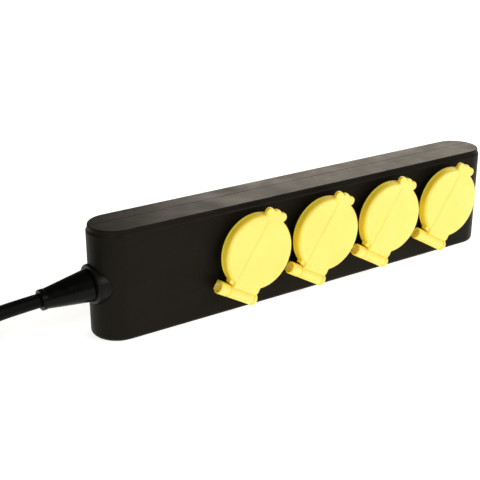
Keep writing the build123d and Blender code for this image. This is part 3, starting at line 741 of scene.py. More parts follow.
@dataclass
class Housing:
    """Two half shells with a coved top edge, screwed together from behind."""

    base_rounding: float = 4.5
    cove_inset: float = 1.1
    cove_drop: float = 4.0
    crisp_edge: float = 0.35
    cap_edge: float = 0.7
    seam_edge: float = 0.42
    seam_back: float = 0.22
    wall: float = 2.6
    top_wall: float = 3.0
    socket_hole: float = 22.2
    gland_gap: Point2 = (15.0, 13.2)
    gland_gap_x: float = -157.4
    gland_bore: float = 10.8
    gland_bore_x: float = -150.0
    label: tuple[float, float, float, float] = (-110.0, 37.0, 28.0, 31.0)
    label_depth: float = 0.15
    screw_recess: float = 3.3
    screw_recess_depth: float = 5.0
    screw_xs: tuple[float, ...] = (-145.0, -88.0, 29.9, 145.0)
    screw_zs: tuple[float, ...] = (11.0, 65.0)
    arc_steps: int = 26
    length: float = field(init=False)
    height: float = field(init=False)
    radius: float = field(init=False)
    parting: float = field(init=False)

    def __post_init__(self) -> None:
        """Read the main sizes from the frame."""
        low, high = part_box(Side.FRONT.value)
        self.height = high.z / MM
        self.radius = -low.y / MM
        self.parting = high.y / MM
        self.length = -2 * low.x / MM

    def build(self, sockets: Sequence["Socket"], gland_z: float) -> None:
        """Build and dress the shells.

        Args:
            sockets: the outlets that pass through the front.
            gland_z: height of the cable gland in millimetres.
        """
        for side in Side:
            shell = self.shell(side)
            cutters = [self.cavity(side), self.gland_cutter(gland_z)]
            if side is Side.FRONT:
                cutters += [self.socket_cutter(socket) for socket in sockets]
                cutters.append(self.label_cutter())
            else:
                cutters += self.screw_cutters()
            cut(shell, cutters)
            smooth_shade(shell)
            settle(shell, HOUSING, "housing", [side.value])
        dress(["shell_seal", "housing_screws", "bracket_screws"])

    def profile(self) -> list[Point2]:
        """Return the (inset, height) line from the base to the cap, in millimetres."""
        top = self.height
        ledge = top - self.cove_drop
        foot = soften(
            [(self.base_rounding + 2, 0, 0), (0, 0, self.base_rounding), (0, 20, 0)], steps=8
        )
        shoulder = soften([(0, 30, 0), (0, ledge, self.crisp_edge), (0.5, ledge, 0)])
        cove = []
        for degrees in range(64, 0, -8):
            angle = math.radians(degrees)
            inset = self.cove_inset * math.cos(angle)
            cove.append((inset, top - self.cove_drop * math.sin(angle)))
        inset = self.cove_inset
        edge = soften([(inset, top - 1.5, 0), (inset, top, self.cap_edge), (4, top, 0)])
        return foot[:-1] + shoulder[1:-1] + cove + edge[1:-1]

    def plan(self, side: Side, inset: float) -> list[Point2]:
        """Return one half of the outline seen from above.

        Args:
            side: which half shell.
            inset: distance inside the outer face, in millimetres.

        Returns:
            Points from one end of the parting line to the other.
        """
        radius = self.radius - inset
        back = -self.seam_back if side is Side.FRONT else self.seam_back
        lift = math.asin((self.parting + back) / radius)
        centre = self.length / 2 - self.radius
        half, quarter = math.pi, math.pi / 2
        spans = {
            Side.FRONT: [
                (-centre, half - lift, 3 * quarter), (centre, 3 * quarter, 2 * half + lift)
            ],
            Side.REAR: [(centre, lift, quarter), (-centre, quarter, half - lift)],
        }[side]
        points = []
        for x, start, end in spans:
            for step in range(self.arc_steps + 1):
                angle = start + (end - start) * step / self.arc_steps
                points.append((x + radius * math.cos(angle), radius * math.sin(angle)))
        return points

    def shell(self, side: Side) -> bpy.types.Object:
        """Return the closed outside of a half shell, with its parting edges rounded."""
        bm = bmesh.new()
        rows = []
        for inset, height in self.profile():
            plan = self.plan(side, inset)
            rows.append([bm.verts.new((x * MM, y * MM, height * MM)) for x, y in plan])
        for low, high in zip(rows, rows[1:]):
            for index in range(len(low) - 1):
                bm.faces.new((low[index], low[index + 1], high[index + 1], high[index]))
        bm.faces.new(rows[0])
        bm.faces.new(rows[-1])
        loop = [row[0] for row in rows] + [row[-1] for row in reversed(rows)]
        parting_face = bm.faces.new(loop)
        weights = bm.edges.layers.float.new("bevel_weight_edge")
        for edge in parting_face.edges:
            edge[weights] = 1.0
        made = make_object(side.value + "_moulding", bm)
        bevel = made.modifiers.new("seam", "BEVEL")
        bevel.limit_method = "WEIGHT"
        bevel.width = self.seam_edge * MM
        bevel.segments = 3
        return bake(made)

    def cavity(self, side: Side) -> bpy.types.Object:
        """Return the cutter that hollows a half shell."""
        plan = self.plan(side, self.wall)
        past = -1 if side is Side.REAR else 1
        first, last = plan[0], plan[-1]
        outline = [(first[0], first[1] + past)] + plan + [(last[0], last[1] + past)]
        return prism("cavity", outline, self.wall, self.height - self.top_wall)

    def socket_cutter(self, socket: "Socket") -> bpy.types.Object:
        """Return the round hole for one outlet."""
        rim, back, front = self.socket_hole, -self.wall - 2, 2.0
        return lathe("hole", [(0, back), (rim, back), (rim, front), (0, front)], socket.place)

    def gland_cutter(self, gland_z: float) -> bpy.types.Object:
        """Return the oval space round the gland's collar and the bore behind it."""
        place = frame_matrix(Vector((0, 0, gland_z * MM)), Vector((1, 0, 0)), Vector((0, 1, 0)))
        wide, bore, end = self.gland_gap[0], self.gland_bore, -self.length / 2 - 5
        profile = [
            (0, end), (wide, end), (wide, self.gland_gap_x), (bore, self.gland_gap_x),
            (bore, self.gland_bore_x), (0, self.gland_bore_x),
        ]
        return lathe("gland_gap", profile, place, 128, oval(*self.gland_gap, bore))

    def label_cutter(self) -> bpy.types.Object:
        """Return the shallow field that would take a label."""
        x, z, width, height = self.label
        outline = rectangle((x - width / 2, x + width / 2), (z - height / 2, z + height / 2), 1.5)
        front = Vector((0, -self.radius * MM, 0))
        place = frame_matrix(front, Vector((0, -1, 0)), Vector((1, 0, 0)))
        return prism("label", outline, -self.label_depth, 2, place)

    def screw_cutters(self) -> list[bpy.types.Object]:
        """Return the counterbores for the screws in the back."""
        made = []
        for x in self.screw_xs:
            for z in self.screw_zs:
                place = frame_matrix(
                    Vector((x * MM, self.radius * MM, z * MM)), Vector((0, 1, 0)), Vector((1, 0, 0))
                )
                low, rim = -self.screw_recess_depth, self.screw_recess
                wide = rim + 0.5
                profile = [(0, low), (rim, low), (rim, -0.4), (wide, 0.1), (wide, 2), (0, 2)]
                made.append(lathe("recess", profile, place, 40))
        return made


# ---- outlets and lids -------------------------------------------------------
@dataclass
class Socket:
    """One outlet: its collar and cup, its hinge bracket and its flip lid.

    The local frame has x along the hinge pin, y towards the tab and z out of the front.
    """

    number: int
    hinge_v: float = -31.0
    hinge_w: float = 8.0
    place: Matrix = field(init=False)

    def __post_init__(self) -> None:
        """Find the local frame from the lid's joint."""
        joint = next(j for j in frame["joints"] if j["child"] == f"lid_{self.number}")
        along, outward = Vector(joint["axis"]), Vector((0, -1, 0))
        up = outward.cross(along)
        centre = Vector(joint["pos_m"]) - up * self.hinge_v * MM - outward * self.hinge_w * MM
        self.place = frame_matrix(centre, outward, along)

    def dress_insides(self) -> None:
        """Finish the pieces that the lid covers."""
        names = (
            "socket_insert", "insert_seal", "earth_clip", "hinge_pin", "lid_spring", "lid_seal"
        )
        dress(f"{name}_{self.number}" for name in names)


@dataclass
class Lid:
    """The flip lid: a disc with a flange, a thumb tab, a neck and a hinge knuckle."""

    flange: tuple[float, float, float] = (26.8, 5.4, 6.3)
    disc: tuple[float, float, float] = (26.4, 26.1, 12.5)
    disc_rounding: float = 2.8
    hollow: tuple[float, float] = (19.4, 9.0)
    seal_groove: tuple[float, float, float] = (20.3, 23.4, 6.5)
    barrel: tuple[float, float, float] = (4.2, -9.1, 11.9)
    neck: tuple[float, float] = (6.2, 11.0)
    strap: tuple[float, float] = (6.2, 12.5)
    neck_sides: Point2 = (-12.6, 12.5)
    neck_root: float = -20.0
    strap_root: float = -18.0
    shoulder: float = 4.9
    shoulder_step: float = 0.4
    shoulder_rounding: Point2 = (0.5, 0.6)
    strap_stop: float = 3.6
    tab_angles: tuple[float, ...] = (103.0, 91.0, 80.0)
    tab_reach: float = 27.9
    tab_radius: float = 3.3
    tab: tuple[float, float] = (8.8, 12.5)
    tab_rounding: Point2 = (0.9, 1.1)
    tab_web: tuple[Point2, Point2] = ((20.4, 28.6), (-6.6, 6.6))
    pin_bore: float = 1.31
    spring_room: tuple[float, float, float] = (3.0, -6.6, 9.2)
    crease: tuple[Point2, Point2] = ((-9.0, -26.0), (-5.2, 24.6))
    crease_depth: float = 0.35
    groove_depth: float = 0.3
    crease_width: float = 0.55
    crease_overrun: float = 1.0
    crease_fade: float = 1.2
    face_layer: float = 1.2
    dimples: tuple[Point3, ...] = ((-3.8, -33.6, 11.2), (4.5, -29.8, 12.4))
    dimple_radii: Point2 = (0.55, 0.65)
    voxel: float = 0.3

    def build(self, sockets: Sequence[Socket]) -> None:
        """Build one lid and stand a copy of it on each outlet.

        Args:
            sockets: the outlets that carry a lid.
        """
        first = self.moulding(sockets[0])
        self.press_crease(first)
        thin(first, 0.45)
        cut(first, [self.bore(sockets[0]), *self.dimple_cutters()])
        smooth_shade(first, 50)
        for socket, lid in zip(sockets, repeated(first, len(sockets))):
            lid.name = f"lid_moulding_{socket.number}"
            lid.matrix_world = socket.place
            settle(lid, f"lid_{socket.number}", "lid_yellow", [f"lid_{socket.number}"])

    def moulding(self, socket: Socket) -> bpy.types.Object:
        """Return the lid's soft-cornered body in the socket's local frame."""
        flat = Matrix.Identity(4)
        rim, back, front = self.flange
        base, top, face = self.disc
        inner, outer, roof = self.seal_groove
        room, ceiling = self.hollow
        profile = soften(
            [
                (0, face, 0), (top, face, self.disc_rounding), (base, front, 0.15),
                (rim, front, 0.3), (rim, back, 0.3), (outer, back, 0), (outer, roof, 0),
                (inner, roof, 0), (inner, back, 0), (room, back, 0), (room, ceiling, 0.4),
                (0, ceiling, 0),
            ]
        )
        disc = lathe("disc", profile, flat, 160)
        parts = [disc, self.neck_part(socket), self.barrel_part(socket)]
        low, high = self.tab
        wide = self.tab_radius
        under, over = self.tab_rounding
        round_profile = soften([(0, low, 0), (wide, low, under), (wide, high, over), (0, high, 0)])
        for degrees in self.tab_angles:
            angle = math.radians(degrees)
            u, v = self.tab_reach * math.cos(angle), self.tab_reach * math.sin(angle)
            lobe = lathe("lobe", round_profile, flat, 40)
            lobe.data.transform(Matrix.Translation((u * MM, v * MM, 0)))
            parts.append(lobe)
        middle = math.radians(self.tab_angles[1])
        web = prism("web", rectangle(*self.tab_web, 1.0), low + 0.3, high)
        web.data.transform(Matrix.Rotation(middle, 4, "Z"))
        return mould("lid_moulding", [*parts, web, self.strap_part(socket)], self.voxel, 3)

    def neck_part(self, socket: Socket) -> bpy.types.Object:
        """Return the web between the disc and the knuckle."""
        _, left, right = self.barrel
        low, high = self.neck_sides
        end, shoulder = socket.hinge_v, socket.hinge_v + self.shoulder
        root, step = self.neck_root, shoulder + self.shoulder_step
        inner, outer = self.shoulder_rounding
        outline = soften(
            [
                (low, root, 0), (low, step, outer), (left, shoulder, inner), (left, end, 0),
                (right, end, 0), (right, shoulder, inner), (high, step, outer), (high, root, 0),
            ],
            closed=True,
        )
        return prism("neck", outline, *self.neck)

    def strap_part(self, socket: Socket) -> bpy.types.Object:
        """Return the part of the neck right of the crease, level with the face."""
        _, left, right = self.barrel
        high = self.neck_sides[1]
        end, shoulder = socket.hinge_v + self.strap_stop, socket.hinge_v + self.shoulder
        root, step = self.strap_root, shoulder + self.shoulder_step
        inner, outer = self.shoulder_rounding
        outline = soften(
            [
                (left, root, 0), (left, end, 0), (right, end, 0), (right, shoulder, inner),
                (high, step, outer), (high, root, 0),
            ],
            closed=True,
        )
        return prism("strap", outline, *self.strap)

    def barrel_part(self, socket: Socket) -> bpy.types.Object:
        """Return the knuckle that turns on the pin."""
        radius, left, right = self.barrel
        profile = soften([(0, left, 0), (radius, left, 0.4), (radius, right, 0.4), (0, right, 0)])
        knuckle = lathe("knuckle", profile, Matrix.Identity(4), 64)
        knuckle.data.transform(hinge_matrix(socket))
        return knuckle

    def bore(self, socket: Socket) -> bpy.types.Object:
        """Return the cutter for the pin and the spring round it."""
        wide, low, high = self.spring_room
        _, left, right = self.barrel
        profile = [
            (0, left - 1), (self.pin_bore, left - 1), (self.pin_bore, low), (wide, low),
            (wide, high), (self.pin_bore, high), (self.pin_bore, right + 1), (0, right + 1),
        ]
        tool = lathe("bore", profile, Matrix.Identity(4), 48)
        tool.data.transform(hinge_matrix(socket))
        return tool

    def dimple_cutters(self) -> list[bpy.types.Object]:
        """Return the small round marks that the mould's pins leave on the knuckle."""
        made = []
        narrow, wide = self.dimple_radii
        profile = [(0, -0.5), (narrow, -0.5), (wide, 2.5), (0, 2.5)]
        for spot in self.dimples:
            made.append(lathe("dimple", profile, Matrix.Translation(Vector(spot) * MM), 24))
        return made

    def press_crease(self, lid: bpy.types.Object) -> None:
        """Lower the face left of the crease and press a soft groove along it.

        Args:
            lid: the moulding, in its local frame.
        """
        start, end = (Vector(point) * MM for point in self.crease)
        along = (end - start).normalized()
        across = Vector((along.y, -along.x))
        edge = (self.disc[1] - self.disc_rounding + self.crease_overrun) * MM
        top = (self.disc[2] - self.face_layer) * MM
        for vertex in lid.data.vertices:
            flat = Vector(vertex.co[:2])
            inside = (edge - flat.length) / (self.crease_fade * MM)
            if vertex.co.z < top or inside <= 0 or flat.y > end.y:
                continue
            side = (flat - start).dot(across) / (self.crease_width * MM)
            step = 1 / (1 + math.exp(4 * max(-4.0, min(4.0, side))))
            groove = self.groove_depth * math.exp(-side * side)
            vertex.co.z -= (self.crease_depth * step + groove) * MM * min(1.0, inside)


@dataclass
class HingeBracket:
    """Foot with an ear at each end of the pin. The left ear is open at its end."""

    left_ear: Point2 = (-17.8, -9.4)
    right_ear: Point2 = (12.2, 14.6)
    foot_u: Point2 = (-14.5, 14.6)
    foot_v: Point2 = (-34.6, -27.3)
    foot_height: float = 3.0
    ear_radius: float = 4.3
    mouth: Point2 = (2.9, 4.4)
    mouth_lip: float = 0.35
    pin_bore: float = 1.27
    pin_end: float = 13.9
    voxel: float = 0.26

    def build(self, sockets: Sequence[Socket]) -> None:
        """Build one bracket and stand a copy of it on each outlet."""
        first = self.moulding(sockets[0])
        smooth_shade(first, 50)
        for socket, bracket in zip(sockets, repeated(first, len(sockets))):
            bracket.name = f"bracket_moulding_{socket.number}"
            bracket.matrix_world = socket.place
            settle(bracket, HOUSING, "lid_yellow", [f"hinge_bracket_{socket.number}"])

    def moulding(self, socket: Socket) -> bpy.types.Object:
        """Return the bracket's soft-cornered body with its bores."""
        low, high = self.foot_v
        middle = (low + high) / 2
        half = self.ear_radius - 0.9
        parts = [prism("foot", rectangle(self.foot_u, self.foot_v, 1.0), 0, self.foot_height)]
        for ear in (self.left_ear, self.right_ear):
            sides = (max(ear[0], self.foot_u[0]), ear[1])
            upright = rectangle(sides, (middle - half, middle + half), 0.6)
            parts.append(prism("pedestal", upright, 0, socket.hinge_w))
            radius, (left, right) = self.ear_radius, ear
            profile = soften(
                [(0, left, 0), (radius, left, 0.5), (radius, right, 0.4), (0, right, 0)]
            )
            tube = lathe("ear", profile, Matrix.Identity(4), 64)
            tube.data.transform(hinge_matrix(socket))
            parts.append(tube)
        body = thin(mould("bracket_moulding", parts, self.voxel, 2), 0.5)
        wide, depth = self.mouth
        start, lip, pin = self.left_ear[0], wide + self.mouth_lip, self.pin_bore
        profile = [
            (0, start - 1), (lip, start - 1), (lip, start + 0.1), (wide, start + 0.5),
            (wide, start + depth), (pin, start + depth), (pin, self.pin_end), (0, self.pin_end),
        ]
        tool = lathe("mouth", profile, Matrix.Identity(4), 48)
        tool.data.transform(hinge_matrix(socket))
        return cut(body, [tool])


def hinge_matrix(socket: Socket) -> Matrix:
    """Return the matrix that lays a lathed piece along a socket's hinge axis."""
    origin = Vector((0, socket.hinge_v * MM, socket.hinge_w * MM))
    return frame_matrix(origin, Vector((1, 0, 0)), Vector((0, 1, 0)))


# ---- cord entry -------------------------------------------------------------
@dataclass
class CordEntry:
    """Gland in the curved end and the tapered sleeve that guards the cord."""

    gland_size: Point2 = (14.6, 12.8)
    face_x: float = -167.3
    back_x: float = -157.6
    inner_x: float = -146.0
    rounding: float = 2.0
    neck_radius: float = 10.6
    cord_hole: float = 5.2
    pocket: float = 9.8
    sleeve_root_x: float = -164.6
    flare_x: float = -167.8
    root_radius: float = 9.2
    base_radius: float = 10.8
    tip_radius: float = 6.4
    rim: Point2 = (6.7, 3.2)
    droop: float = 3.2
    cord_radius: float = 4.5
    tip: Point3 = (-200.7, 0.0, 34.9)
    gland_z: float = field(init=False)

    def __post_init__(self) -> None:
        """Read the gland's height from the frame."""
        low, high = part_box("cable_gland")
        self.gland_z = (low.z + high.z) / 2 / MM

    def build(self) -> None:
        """Build and dress the gland and the sleeve."""
        centre = Vector((0, 0, self.gland_z * MM))
        place = frame_matrix(centre, Vector((1, 0, 0)), Vector((0, 1, 0)))
        face, back, radius = self.face_x, self.back_x, self.gland_size[0]
        neck, hole, root = self.neck_radius, self.cord_hole, self.sleeve_root_x
        profile = soften(
            [
                (self.pocket, root, 0), (self.pocket, face, 0.35), (radius, face, self.rounding),
                (radius, back, 0.3), (neck, back, 0), (neck, self.inner_x, 0),
                (hole, self.inner_x, 0), (hole, root, 0),
            ],
            closed=True,
            steps=6,
        )
        swell = oval(*self.gland_size, neck)
        gland = smooth_shade(lathe("gland_collar", profile, place, 128, swell))
        settle(gland, HOUSING, "gland_plastic", ["cable_gland"])
        settle(self.sleeve(), HOUSING, "gland_rubber", ["strain_relief"])
        dress(["cord_inner_end", "cord_clamp", "clamp_screws"])

    def sleeve(self) -> bpy.types.Object:
        """Return the tapered sleeve along the drooping cord."""
        angle = math.radians(self.droop)
        along = Vector((-math.cos(angle), 0, -math.sin(angle)))
        place = frame_matrix(Vector(self.tip) * MM, along, Vector((0, 1, 0)))
        root = (self.tip[0] - self.sleeve_root_x) / math.cos(angle)
        flare = (self.tip[0] - self.flare_x) / math.cos(angle)
        hole = self.cord_radius + 0.02
        rim_radius, rim_length = self.rim
        profile = soften(
            [
                (hole, root, 0), (self.root_radius, root, 0), (self.root_radius, flare, 0),
                (self.base_radius, flare, 0.5),
                (self.tip_radius, -rim_length, 0.5), (rim_radius, -rim_length, 0.35),
                (rim_radius, -0.05, 0.5), (hole, -0.05, 0.3),
            ],
            closed=True,
            steps=6,
        )
        return smooth_shade(lathe("sleeve_moulding", profile, place, 96))


# ---- cord, ties and plug ----------------------------------------------------
@dataclass
class MainsCord:
    """The rubber cord, its tied hank and its plug.

    The route runs from the sleeve's tip to a hank of three stacked turns and ends in
    the plug, which lies between the hank's two runs.
    """

    radius: float = 4.5
    exit: Point3 = (-200.7, 0.0, 34.9)
    lead: tuple[Point3, ...] = (
        (-200.7, 0.0, 34.9),
        (-214.0, 0.0, 34.16),
        (-232.0, -0.8, 33.1),
        (-251.0, -5.6, 30.0),
        (-270.0, -12.6, 26.0),
        (-286.0, -17.3, 23.9),
        (-302.0, -18.0, 23.5),
    )
    tail: tuple[Point3, ...] = (
        (-425.0, 36.0, 5.5),
        (-402.0, 34.5, 6.3),
        (-374.0, 22.0, 11.5),
        (-345.0, 10.0, 17.8),
        (-322.0, 9.0, 18.5),
    )
    turns: int = 3
    bend: float = 27.0
    middle_y: float = 9.0
    right_x: float = -263.0
    left_x: float = -423.0
    top_z: float = 23.5
    bend_steps: int = 8
    lane_step: float = 30.0
    unevenness: float = 0.35
    length: float = 1400.0
    tie_x: float = -372.0
    tie_width: float = 8.0
    tie_thick: float = 0.9
    tie_tooth: float = 0.22
    tie_head: tuple[float, float, float] = (3.2, 0.4, 4.8)
    tie_tongue: Point2 = (1.6, 2.8)

    def build(self, plug_pieces: Sequence[bpy.types.Object | str]) -> None:
        """Lay the cord and its ties.

        Args:
            plug_pieces: the pieces of the plug on the cord's end; not used.
        """
        curve = bpy.data.curves.new("mains_cord", "CURVE")
        curve.dimensions = "3D"
        curve.bevel_depth = self.radius * MM
        curve.bevel_resolution = 10
        curve.resolution_u = 8
        curve.use_fill_caps = True
        spline = curve.splines.new("NURBS")
        points = [*self.lead, *self.hank(), *self.tail]
        spline.points.add(len(points) - 1)
        for point, (x, y, z) in zip(spline.points, points):
            point.co = (x * MM, y * MM, z * MM, 1.0)
        spline.order_u = 3
        spline.use_endpoint_u = True
        cord = bpy.data.objects.new("mains_cord", curve)
        bpy.context.scene.collection.objects.link(cord)
        settle(cord, HOUSING, "cord_rubber", ["cord", "cord_hank", "cord_tail"])
        ties = [self.tie("front_tie", -18.0, (3.0, 8.5)), self.tie("rear_tie", 36.0, (-8.5, -3.0))]
        for tie in ties:
            settle(tie, HOUSING, "tie_plastic", ["hank_ties"])

    def hank(self) -> list[Point3]:
        """Return the points of the stacked turns, from the lead's end to the tail's start."""
        step_down = 2 * self.radius
        points: list[Point3] = []
        for turn in range(self.turns):
            z = self.top_z - turn * step_down
            start = self.lead[-1][0] if turn == 0 else self.right_x
            lane = self.lane(start, self.left_x, self.middle_y - self.bend, z)
            points += lane if turn == 0 else lane[1:]
            points += self.loop(self.left_x, -1, z, z)
            if turn < self.turns - 1:
                points += self.lane(self.left_x, self.right_x, self.middle_y + self.bend, z)
                points += self.loop(self.right_x, 1, z, z - step_down)
        return points

    def lane(self, start: float, end: float, y: float, z: float) -> list[Point3]:
        """Return the points inside one straight run, a little uneven as rubber lies."""
        count = max(2, round(abs(end - start) / self.lane_step))
        points = []
        for index in range(1, count):
            share = index / count
            sag = self.unevenness * math.sin(7.0 * share + y + z)
            points.append((start + (end - start) * share, y + sag, z))
        return points

    def loop(self, x: float, way: int, high: float, low: float) -> list[Point3]:
        """Return the points of one half turn.

        Args:
            x: where the bend's centre is.
            way: 1 for the loop nearest the housing, -1 for the far one.
            high: height where it starts.
            low: height where it ends.

        Returns:
            The points, in the order that the cord takes.
        """
        points = []
        reach = self.bend / math.cos(math.pi / self.bend_steps / 4)
        for step in range(self.bend_steps + 1):
            share = step / self.bend_steps
            angle = math.pi * share
            y = self.middle_y + way * self.bend * math.cos(angle)
            points.append((x + way * reach * math.sin(angle), y, high + (low - high) * share))
        return points

    def tie(self, name: str, lane_y: float, tongue: Point2) -> bpy.types.Object:
        """Return a cable tie round one run: its toothed strap, its head and its cut end.

        Args:
            name: name of the piece.
            lane_y: where the run lies.
            tongue: how far the cut end stands out of the head, across the run.

        Returns:
            The tie.
        """
        low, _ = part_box("cord_hank")
        bottom, top = low.z / MM, low.z / MM + self.turns * 2 * self.radius
        inner = rectangle((-self.radius, self.radius), (bottom, top), self.radius - 0.1)
        place = frame_matrix(
            Vector((self.tie_x * MM, lane_y * MM, 0)), Vector((1, 0, 0)), Vector((0, 1, 0))
        )
        bm = bmesh.new()
        half = self.tie_width / 2
        centre = Vector((0, (bottom + top) / 2))
        rings = []
        for index, point in enumerate(refine(inner, 0.8)):
            spot = Vector(point)
            level = max(bottom + self.radius, min(top - self.radius, spot.y))
            out = (spot - Vector((0, level))).normalized() if spot != centre else Vector((1, 0))
            tooth = self.tie_tooth if index % 2 else 0.0
            outer = spot + out * (self.tie_thick - tooth)
            edge = spot + out * (self.tie_thick - 0.25)
            flat = half - 0.9
            spots = [
                (spot, -half), (edge, -half), (outer, -flat),
                (outer, flat), (edge, half), (spot, half),
            ]
            rings.append([bm.verts.new((p.x * MM, p.y * MM, w * MM)) for p, w in spots])
        for ring, after in zip(rings, rings[1:] + rings[:1]):
            for index in range(len(ring)):
                other = (index + 1) % len(ring)
                bm.faces.new((ring[index], ring[other], after[other], after[index]))
        strap = make_object(name, bm, place)
        reach, bottom_lift, top_lift = self.tie_head
        block = rectangle((-reach, reach), (top + bottom_lift, top + top_lift), 0.9)
        head = prism("head", block, -half - 0.6, half + 0.6, place)
        low_lift, high_lift = self.tie_tongue
        strip = rectangle(tongue, (top + low_lift, top + high_lift), 0.3)
        end = prism("end", strip, -half + 0.2, half - 0.2, place)
        for part in (head, end):
            bevel = part.modifiers.new("bevel", "BEVEL")
            bevel.width = 0.3 * MM
            bevel.segments = 2
            bake(part)
        joined = bmesh.new()
        for part in (strap, head, end):
            joined.from_mesh(part.data)
            bpy.data.objects.remove(part)
        return smooth_shade(make_object(name, joined, place), 40)


def refine(outline: Sequence[Point2], step: float) -> list[Point2]:
    """Divide a closed outline into pieces of about one length."""
    points: list[Point2] = []
    for index, point in enumerate(outline):
        here, after = Vector(point), Vector(outline[(index + 1) % len(outline)])
        count = max(1, round((after - here).length / step))
        for part in range(count):
            spot = here.lerp(after, part / count)
            points.append((spot.x, spot.y))
    return points


@dataclass
class Plug:
    """The moulded rubber plug, with ribbed relief and fluted grip."""

    back_x: float = -322.0
    axis_y: float = 9.0
    radius: float = 18.5
    neck: Point2 = (6.1, 7.5)
    relief: float = 16.0
    shoulder: float = 9.0
    grip: float = 22.0
    face_radius: float = 17.2
    recess: float = 3.5
    notch: tuple[float, float, float] = (4.0, 1.5, 12.0)
    flutes: int = 44
    flute_depth: float = 0.55
    rings: int = 4
    ring_start: float = 2.6
    ring_pitch: float = 3.2
    ring_depth: float = 1.0

    def build(self) -> list[bpy.types.Object | str]:
        """Build and dress the plug.

        Returns:
            The pieces that lie on the cord.
        """
        back = Vector((self.back_x, self.axis_y, self.radius)) * MM
        place = frame_matrix(back, Vector((1, 0, 0)), Vector((0, 0, -1)))
        front = self.relief + self.shoulder + self.grip
        corners: list[Corner] = [(0, 0, 0), (self.neck[0], 0, 0.8)]
        for index in range(self.rings):
            at = self.ring_start + self.ring_pitch * index
            wide = self.neck[0] + (self.neck[1] - self.neck[0]) * at / self.relief
            deep = wide - self.ring_depth
            corners += [(wide, at, 0.4), (deep, at + 0.4, 0.3), (deep, at + 1.4, 0.3)]
            corners.append((wide, at + 1.8, 0.4))
        floor = front - self.recess
        corners += [
            (self.neck[1], self.relief, 4.0), (self.radius - 0.2, self.relief + self.shoulder, 4.5),
            (self.radius, front, 1.0), (self.face_radius, front, 0.3), (self.face_radius, floor, 0),
            (0, floor, 0),
        ]
        grip_start, grip_end = self.relief + self.shoulder + 2.5, front - 4.0
        profile = []
        outline = soften(corners)
        for point, after in zip(outline, outline[1:] + [(0, floor)]):
            on_grip = point[0] > self.radius - 0.5
            count = max(1, round(abs(after[1] - point[1]) / 1.5)) if on_grip else 1
            for part in range(count):
                spot = Vector(point).lerp(Vector(after), part / count)
                profile.append((spot.x, spot.y))

        def swell(radius: float, height: float, angle: float) -> float:
            """Return the depth of the flutes at a place on the grip."""
            fade = min(1.0, max(0.0, (height - grip_start) / 2), max(0.0, (grip_end - height) / 2))
            return -self.flute_depth * fade * (0.5 + 0.5 * math.cos(self.flutes * angle)) ** 2

        body = lathe("plug_moulding", profile, place, self.flutes * 6, swell)
        wide, deep, long = self.notch
        cutters = []
        for side in (-1, 1):
            span = sorted((side * (self.radius - deep), side * (self.radius + 2)))
            outline = rectangle((-wide, wide), (span[0], span[1]))
            cutters.append(prism("notch", outline, front - long, front + 1, place))
        cut(body, cutters)
        settle(smooth_shade(body), HOUSING, "plug_rubber", ["plug_body"])
        dress(["plug_face", "plug_pins", "plug_earth_clips"])
        return [body, "plug_face", "plug_pins", "plug_earth_clips"]


# ---- studio -----------------------------------------------------------------
@dataclass(frozen=True)
class Softbox:
    """A rectangular lamp that looks at a point.

    Attributes:
        name: name of the lamp.
        spot: where it hangs, in metres.
        aim: what it looks at, in metres.
        size: width and height in metres.
        power: power in watts.
        colour: sRGB hex of its light.
    """

    name: str
    spot: Point3
    aim: Point3
    size: Point2
    power: float
    colour: str = "#ffffff"

    def hang(self) -> None:
        """Put the lamp in the scene."""
        lamp = bpy.data.lights.new(self.name, "AREA")
        lamp.shape = "RECTANGLE"
        lamp.size, lamp.size_y = self.size
        lamp.energy = self.power
        lamp.color = linear(self.colour)[:3]
        holder = bpy.data.objects.new(self.name, lamp)
        bpy.context.scene.collection.objects.link(holder)
        direction = Vector(self.aim) - Vector(self.spot)
        holder.visible_camera = False
        holder.rotation_euler = direction.to_track_quat("-Z", "Y").to_euler()
        holder.location = self.spot


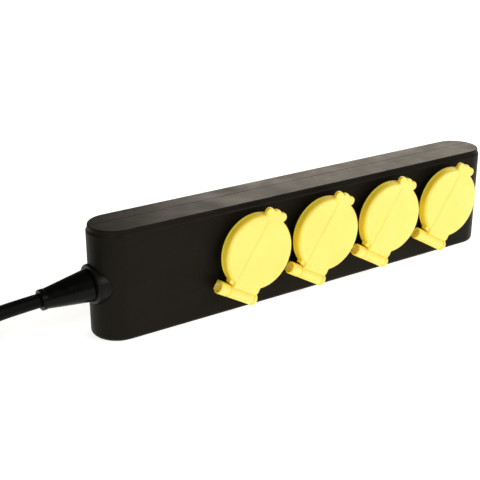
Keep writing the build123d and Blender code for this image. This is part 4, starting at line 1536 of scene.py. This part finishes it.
@dataclass
class Studio:
    """Camera, floor and soft lamps."""

    eye: Point3 = (-0.41225, -0.53070, 0.29617)
    yaw: float = 34.072
    pitch: float = 21.658
    lens: float = 75.70
    floor_size: float = 14.0
    floor_glow: float = 0.7
    room_light: float = 0.08
    lamps: tuple[Softbox, ...] = (
        Softbox("back_right", (1.1, 0.92, 0.58), (0.1, 0.0, 0.07), (1.3, 0.4), 13.0, "#fff3e2"),
        Softbox("front_key", (0.9, -1.4, 1.15), (0.0, 0.0, 0.04), (0.8, 0.8), 18.5),
        Softbox("left_fill", (-1.3, -1.2, 1.0), (-0.05, 0.0, 0.04), (0.8, 0.8), 14.0),
    )

    def build(self) -> None:
        """Set up the camera, the floor, the world and the lamps."""
        self.camera()
        self.floor()
        self.world()
        for lamp in self.lamps:
            lamp.hang()
        bpy.context.scene.view_settings.view_transform = "Standard"

    def camera(self) -> None:
        """Place the camera at its viewing angle."""
        data = bpy.data.cameras.new("camera")
        data.lens = self.lens
        data.sensor_width = 36.0
        data.clip_start, data.clip_end = 0.01, 50.0
        camera = bpy.data.objects.new("camera", data)
        bpy.context.scene.collection.objects.link(camera)
        yaw, pitch = math.radians(self.yaw), math.radians(self.pitch)
        ahead = Vector(
            (math.sin(yaw) * math.cos(pitch), math.cos(yaw) * math.cos(pitch), -math.sin(pitch))
        )
        right = Vector((math.cos(yaw), -math.sin(yaw), 0))
        camera.matrix_world = frame_matrix(Vector(self.eye), -ahead, right)
        bpy.context.scene.camera = camera

    def floor(self) -> None:
        """Lay the plain pale floor."""
        bm = bmesh.new()
        half = self.floor_size / 2
        corners = [(-half, -half), (half, -half), (half, half), (-half, half)]
        bm.faces.new([bm.verts.new((x, y, 0)) for x, y in corners])
        floor = make_object("floor", bm)
        pale = bpy.data.materials.new("pale_floor")
        pale.use_nodes = True
        shader = pale.node_tree.nodes["Principled BSDF"]
        shader.inputs["Base Color"].default_value = linear("#f4f4f2")
        shader.inputs["Roughness"].default_value = 0.9
        shader.inputs["Emission Color"].default_value = (1, 1, 1, 1)
        shader.inputs["Emission Strength"].default_value = self.floor_glow
        floor.data.materials.append(pale)

    def world(self) -> None:
        """Fill the room with even light, white where the camera sees it."""
        world = bpy.data.worlds.new("room")
        bpy.context.scene.world = world
        world.use_nodes = True
        tree = world.node_tree
        tree.nodes.clear()
        white = (1, 1, 1, 1)
        dim = {"Color": white, "Strength": self.room_light}
        lit = add_node(tree, "ShaderNodeBackground", dim)
        seen = add_node(tree, "ShaderNodeBackground", {"Color": white, "Strength": 1.0})
        path = add_node(tree, "ShaderNodeLightPath")
        links = {0: path.outputs["Is Camera Ray"], 1: lit.outputs[0], 2: seen.outputs[0]}
        mixed = add_node(tree, "ShaderNodeMixShader", None, links)
        add_node(tree, "ShaderNodeOutputWorld", None, {"Surface": mixed.outputs[0]})


def main() -> None:
    """Build the looks round the frame."""
    logging.basicConfig(level=logging.INFO, format="%(name)s: %(message)s")
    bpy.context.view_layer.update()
    Studio().build()
    plug_pieces = Plug().build()
    MainsCord().build(plug_pieces)
    entry = CordEntry()
    entry.build()
    sockets = [Socket(number) for number in range(1, 5)]
    Housing().build(sockets, entry.gland_z)
    Lid().build(sockets)
    HingeBracket().build(sockets)
    for socket in sockets:
        socket.dress_insides()
    dress(["live_rail", "neutral_rail", "earth_rail", "contact_carrier", "terminal_blocks"])
    dress(["live_core", "neutral_core", "earth_core"])


if __name__ == "__main__":
    main()
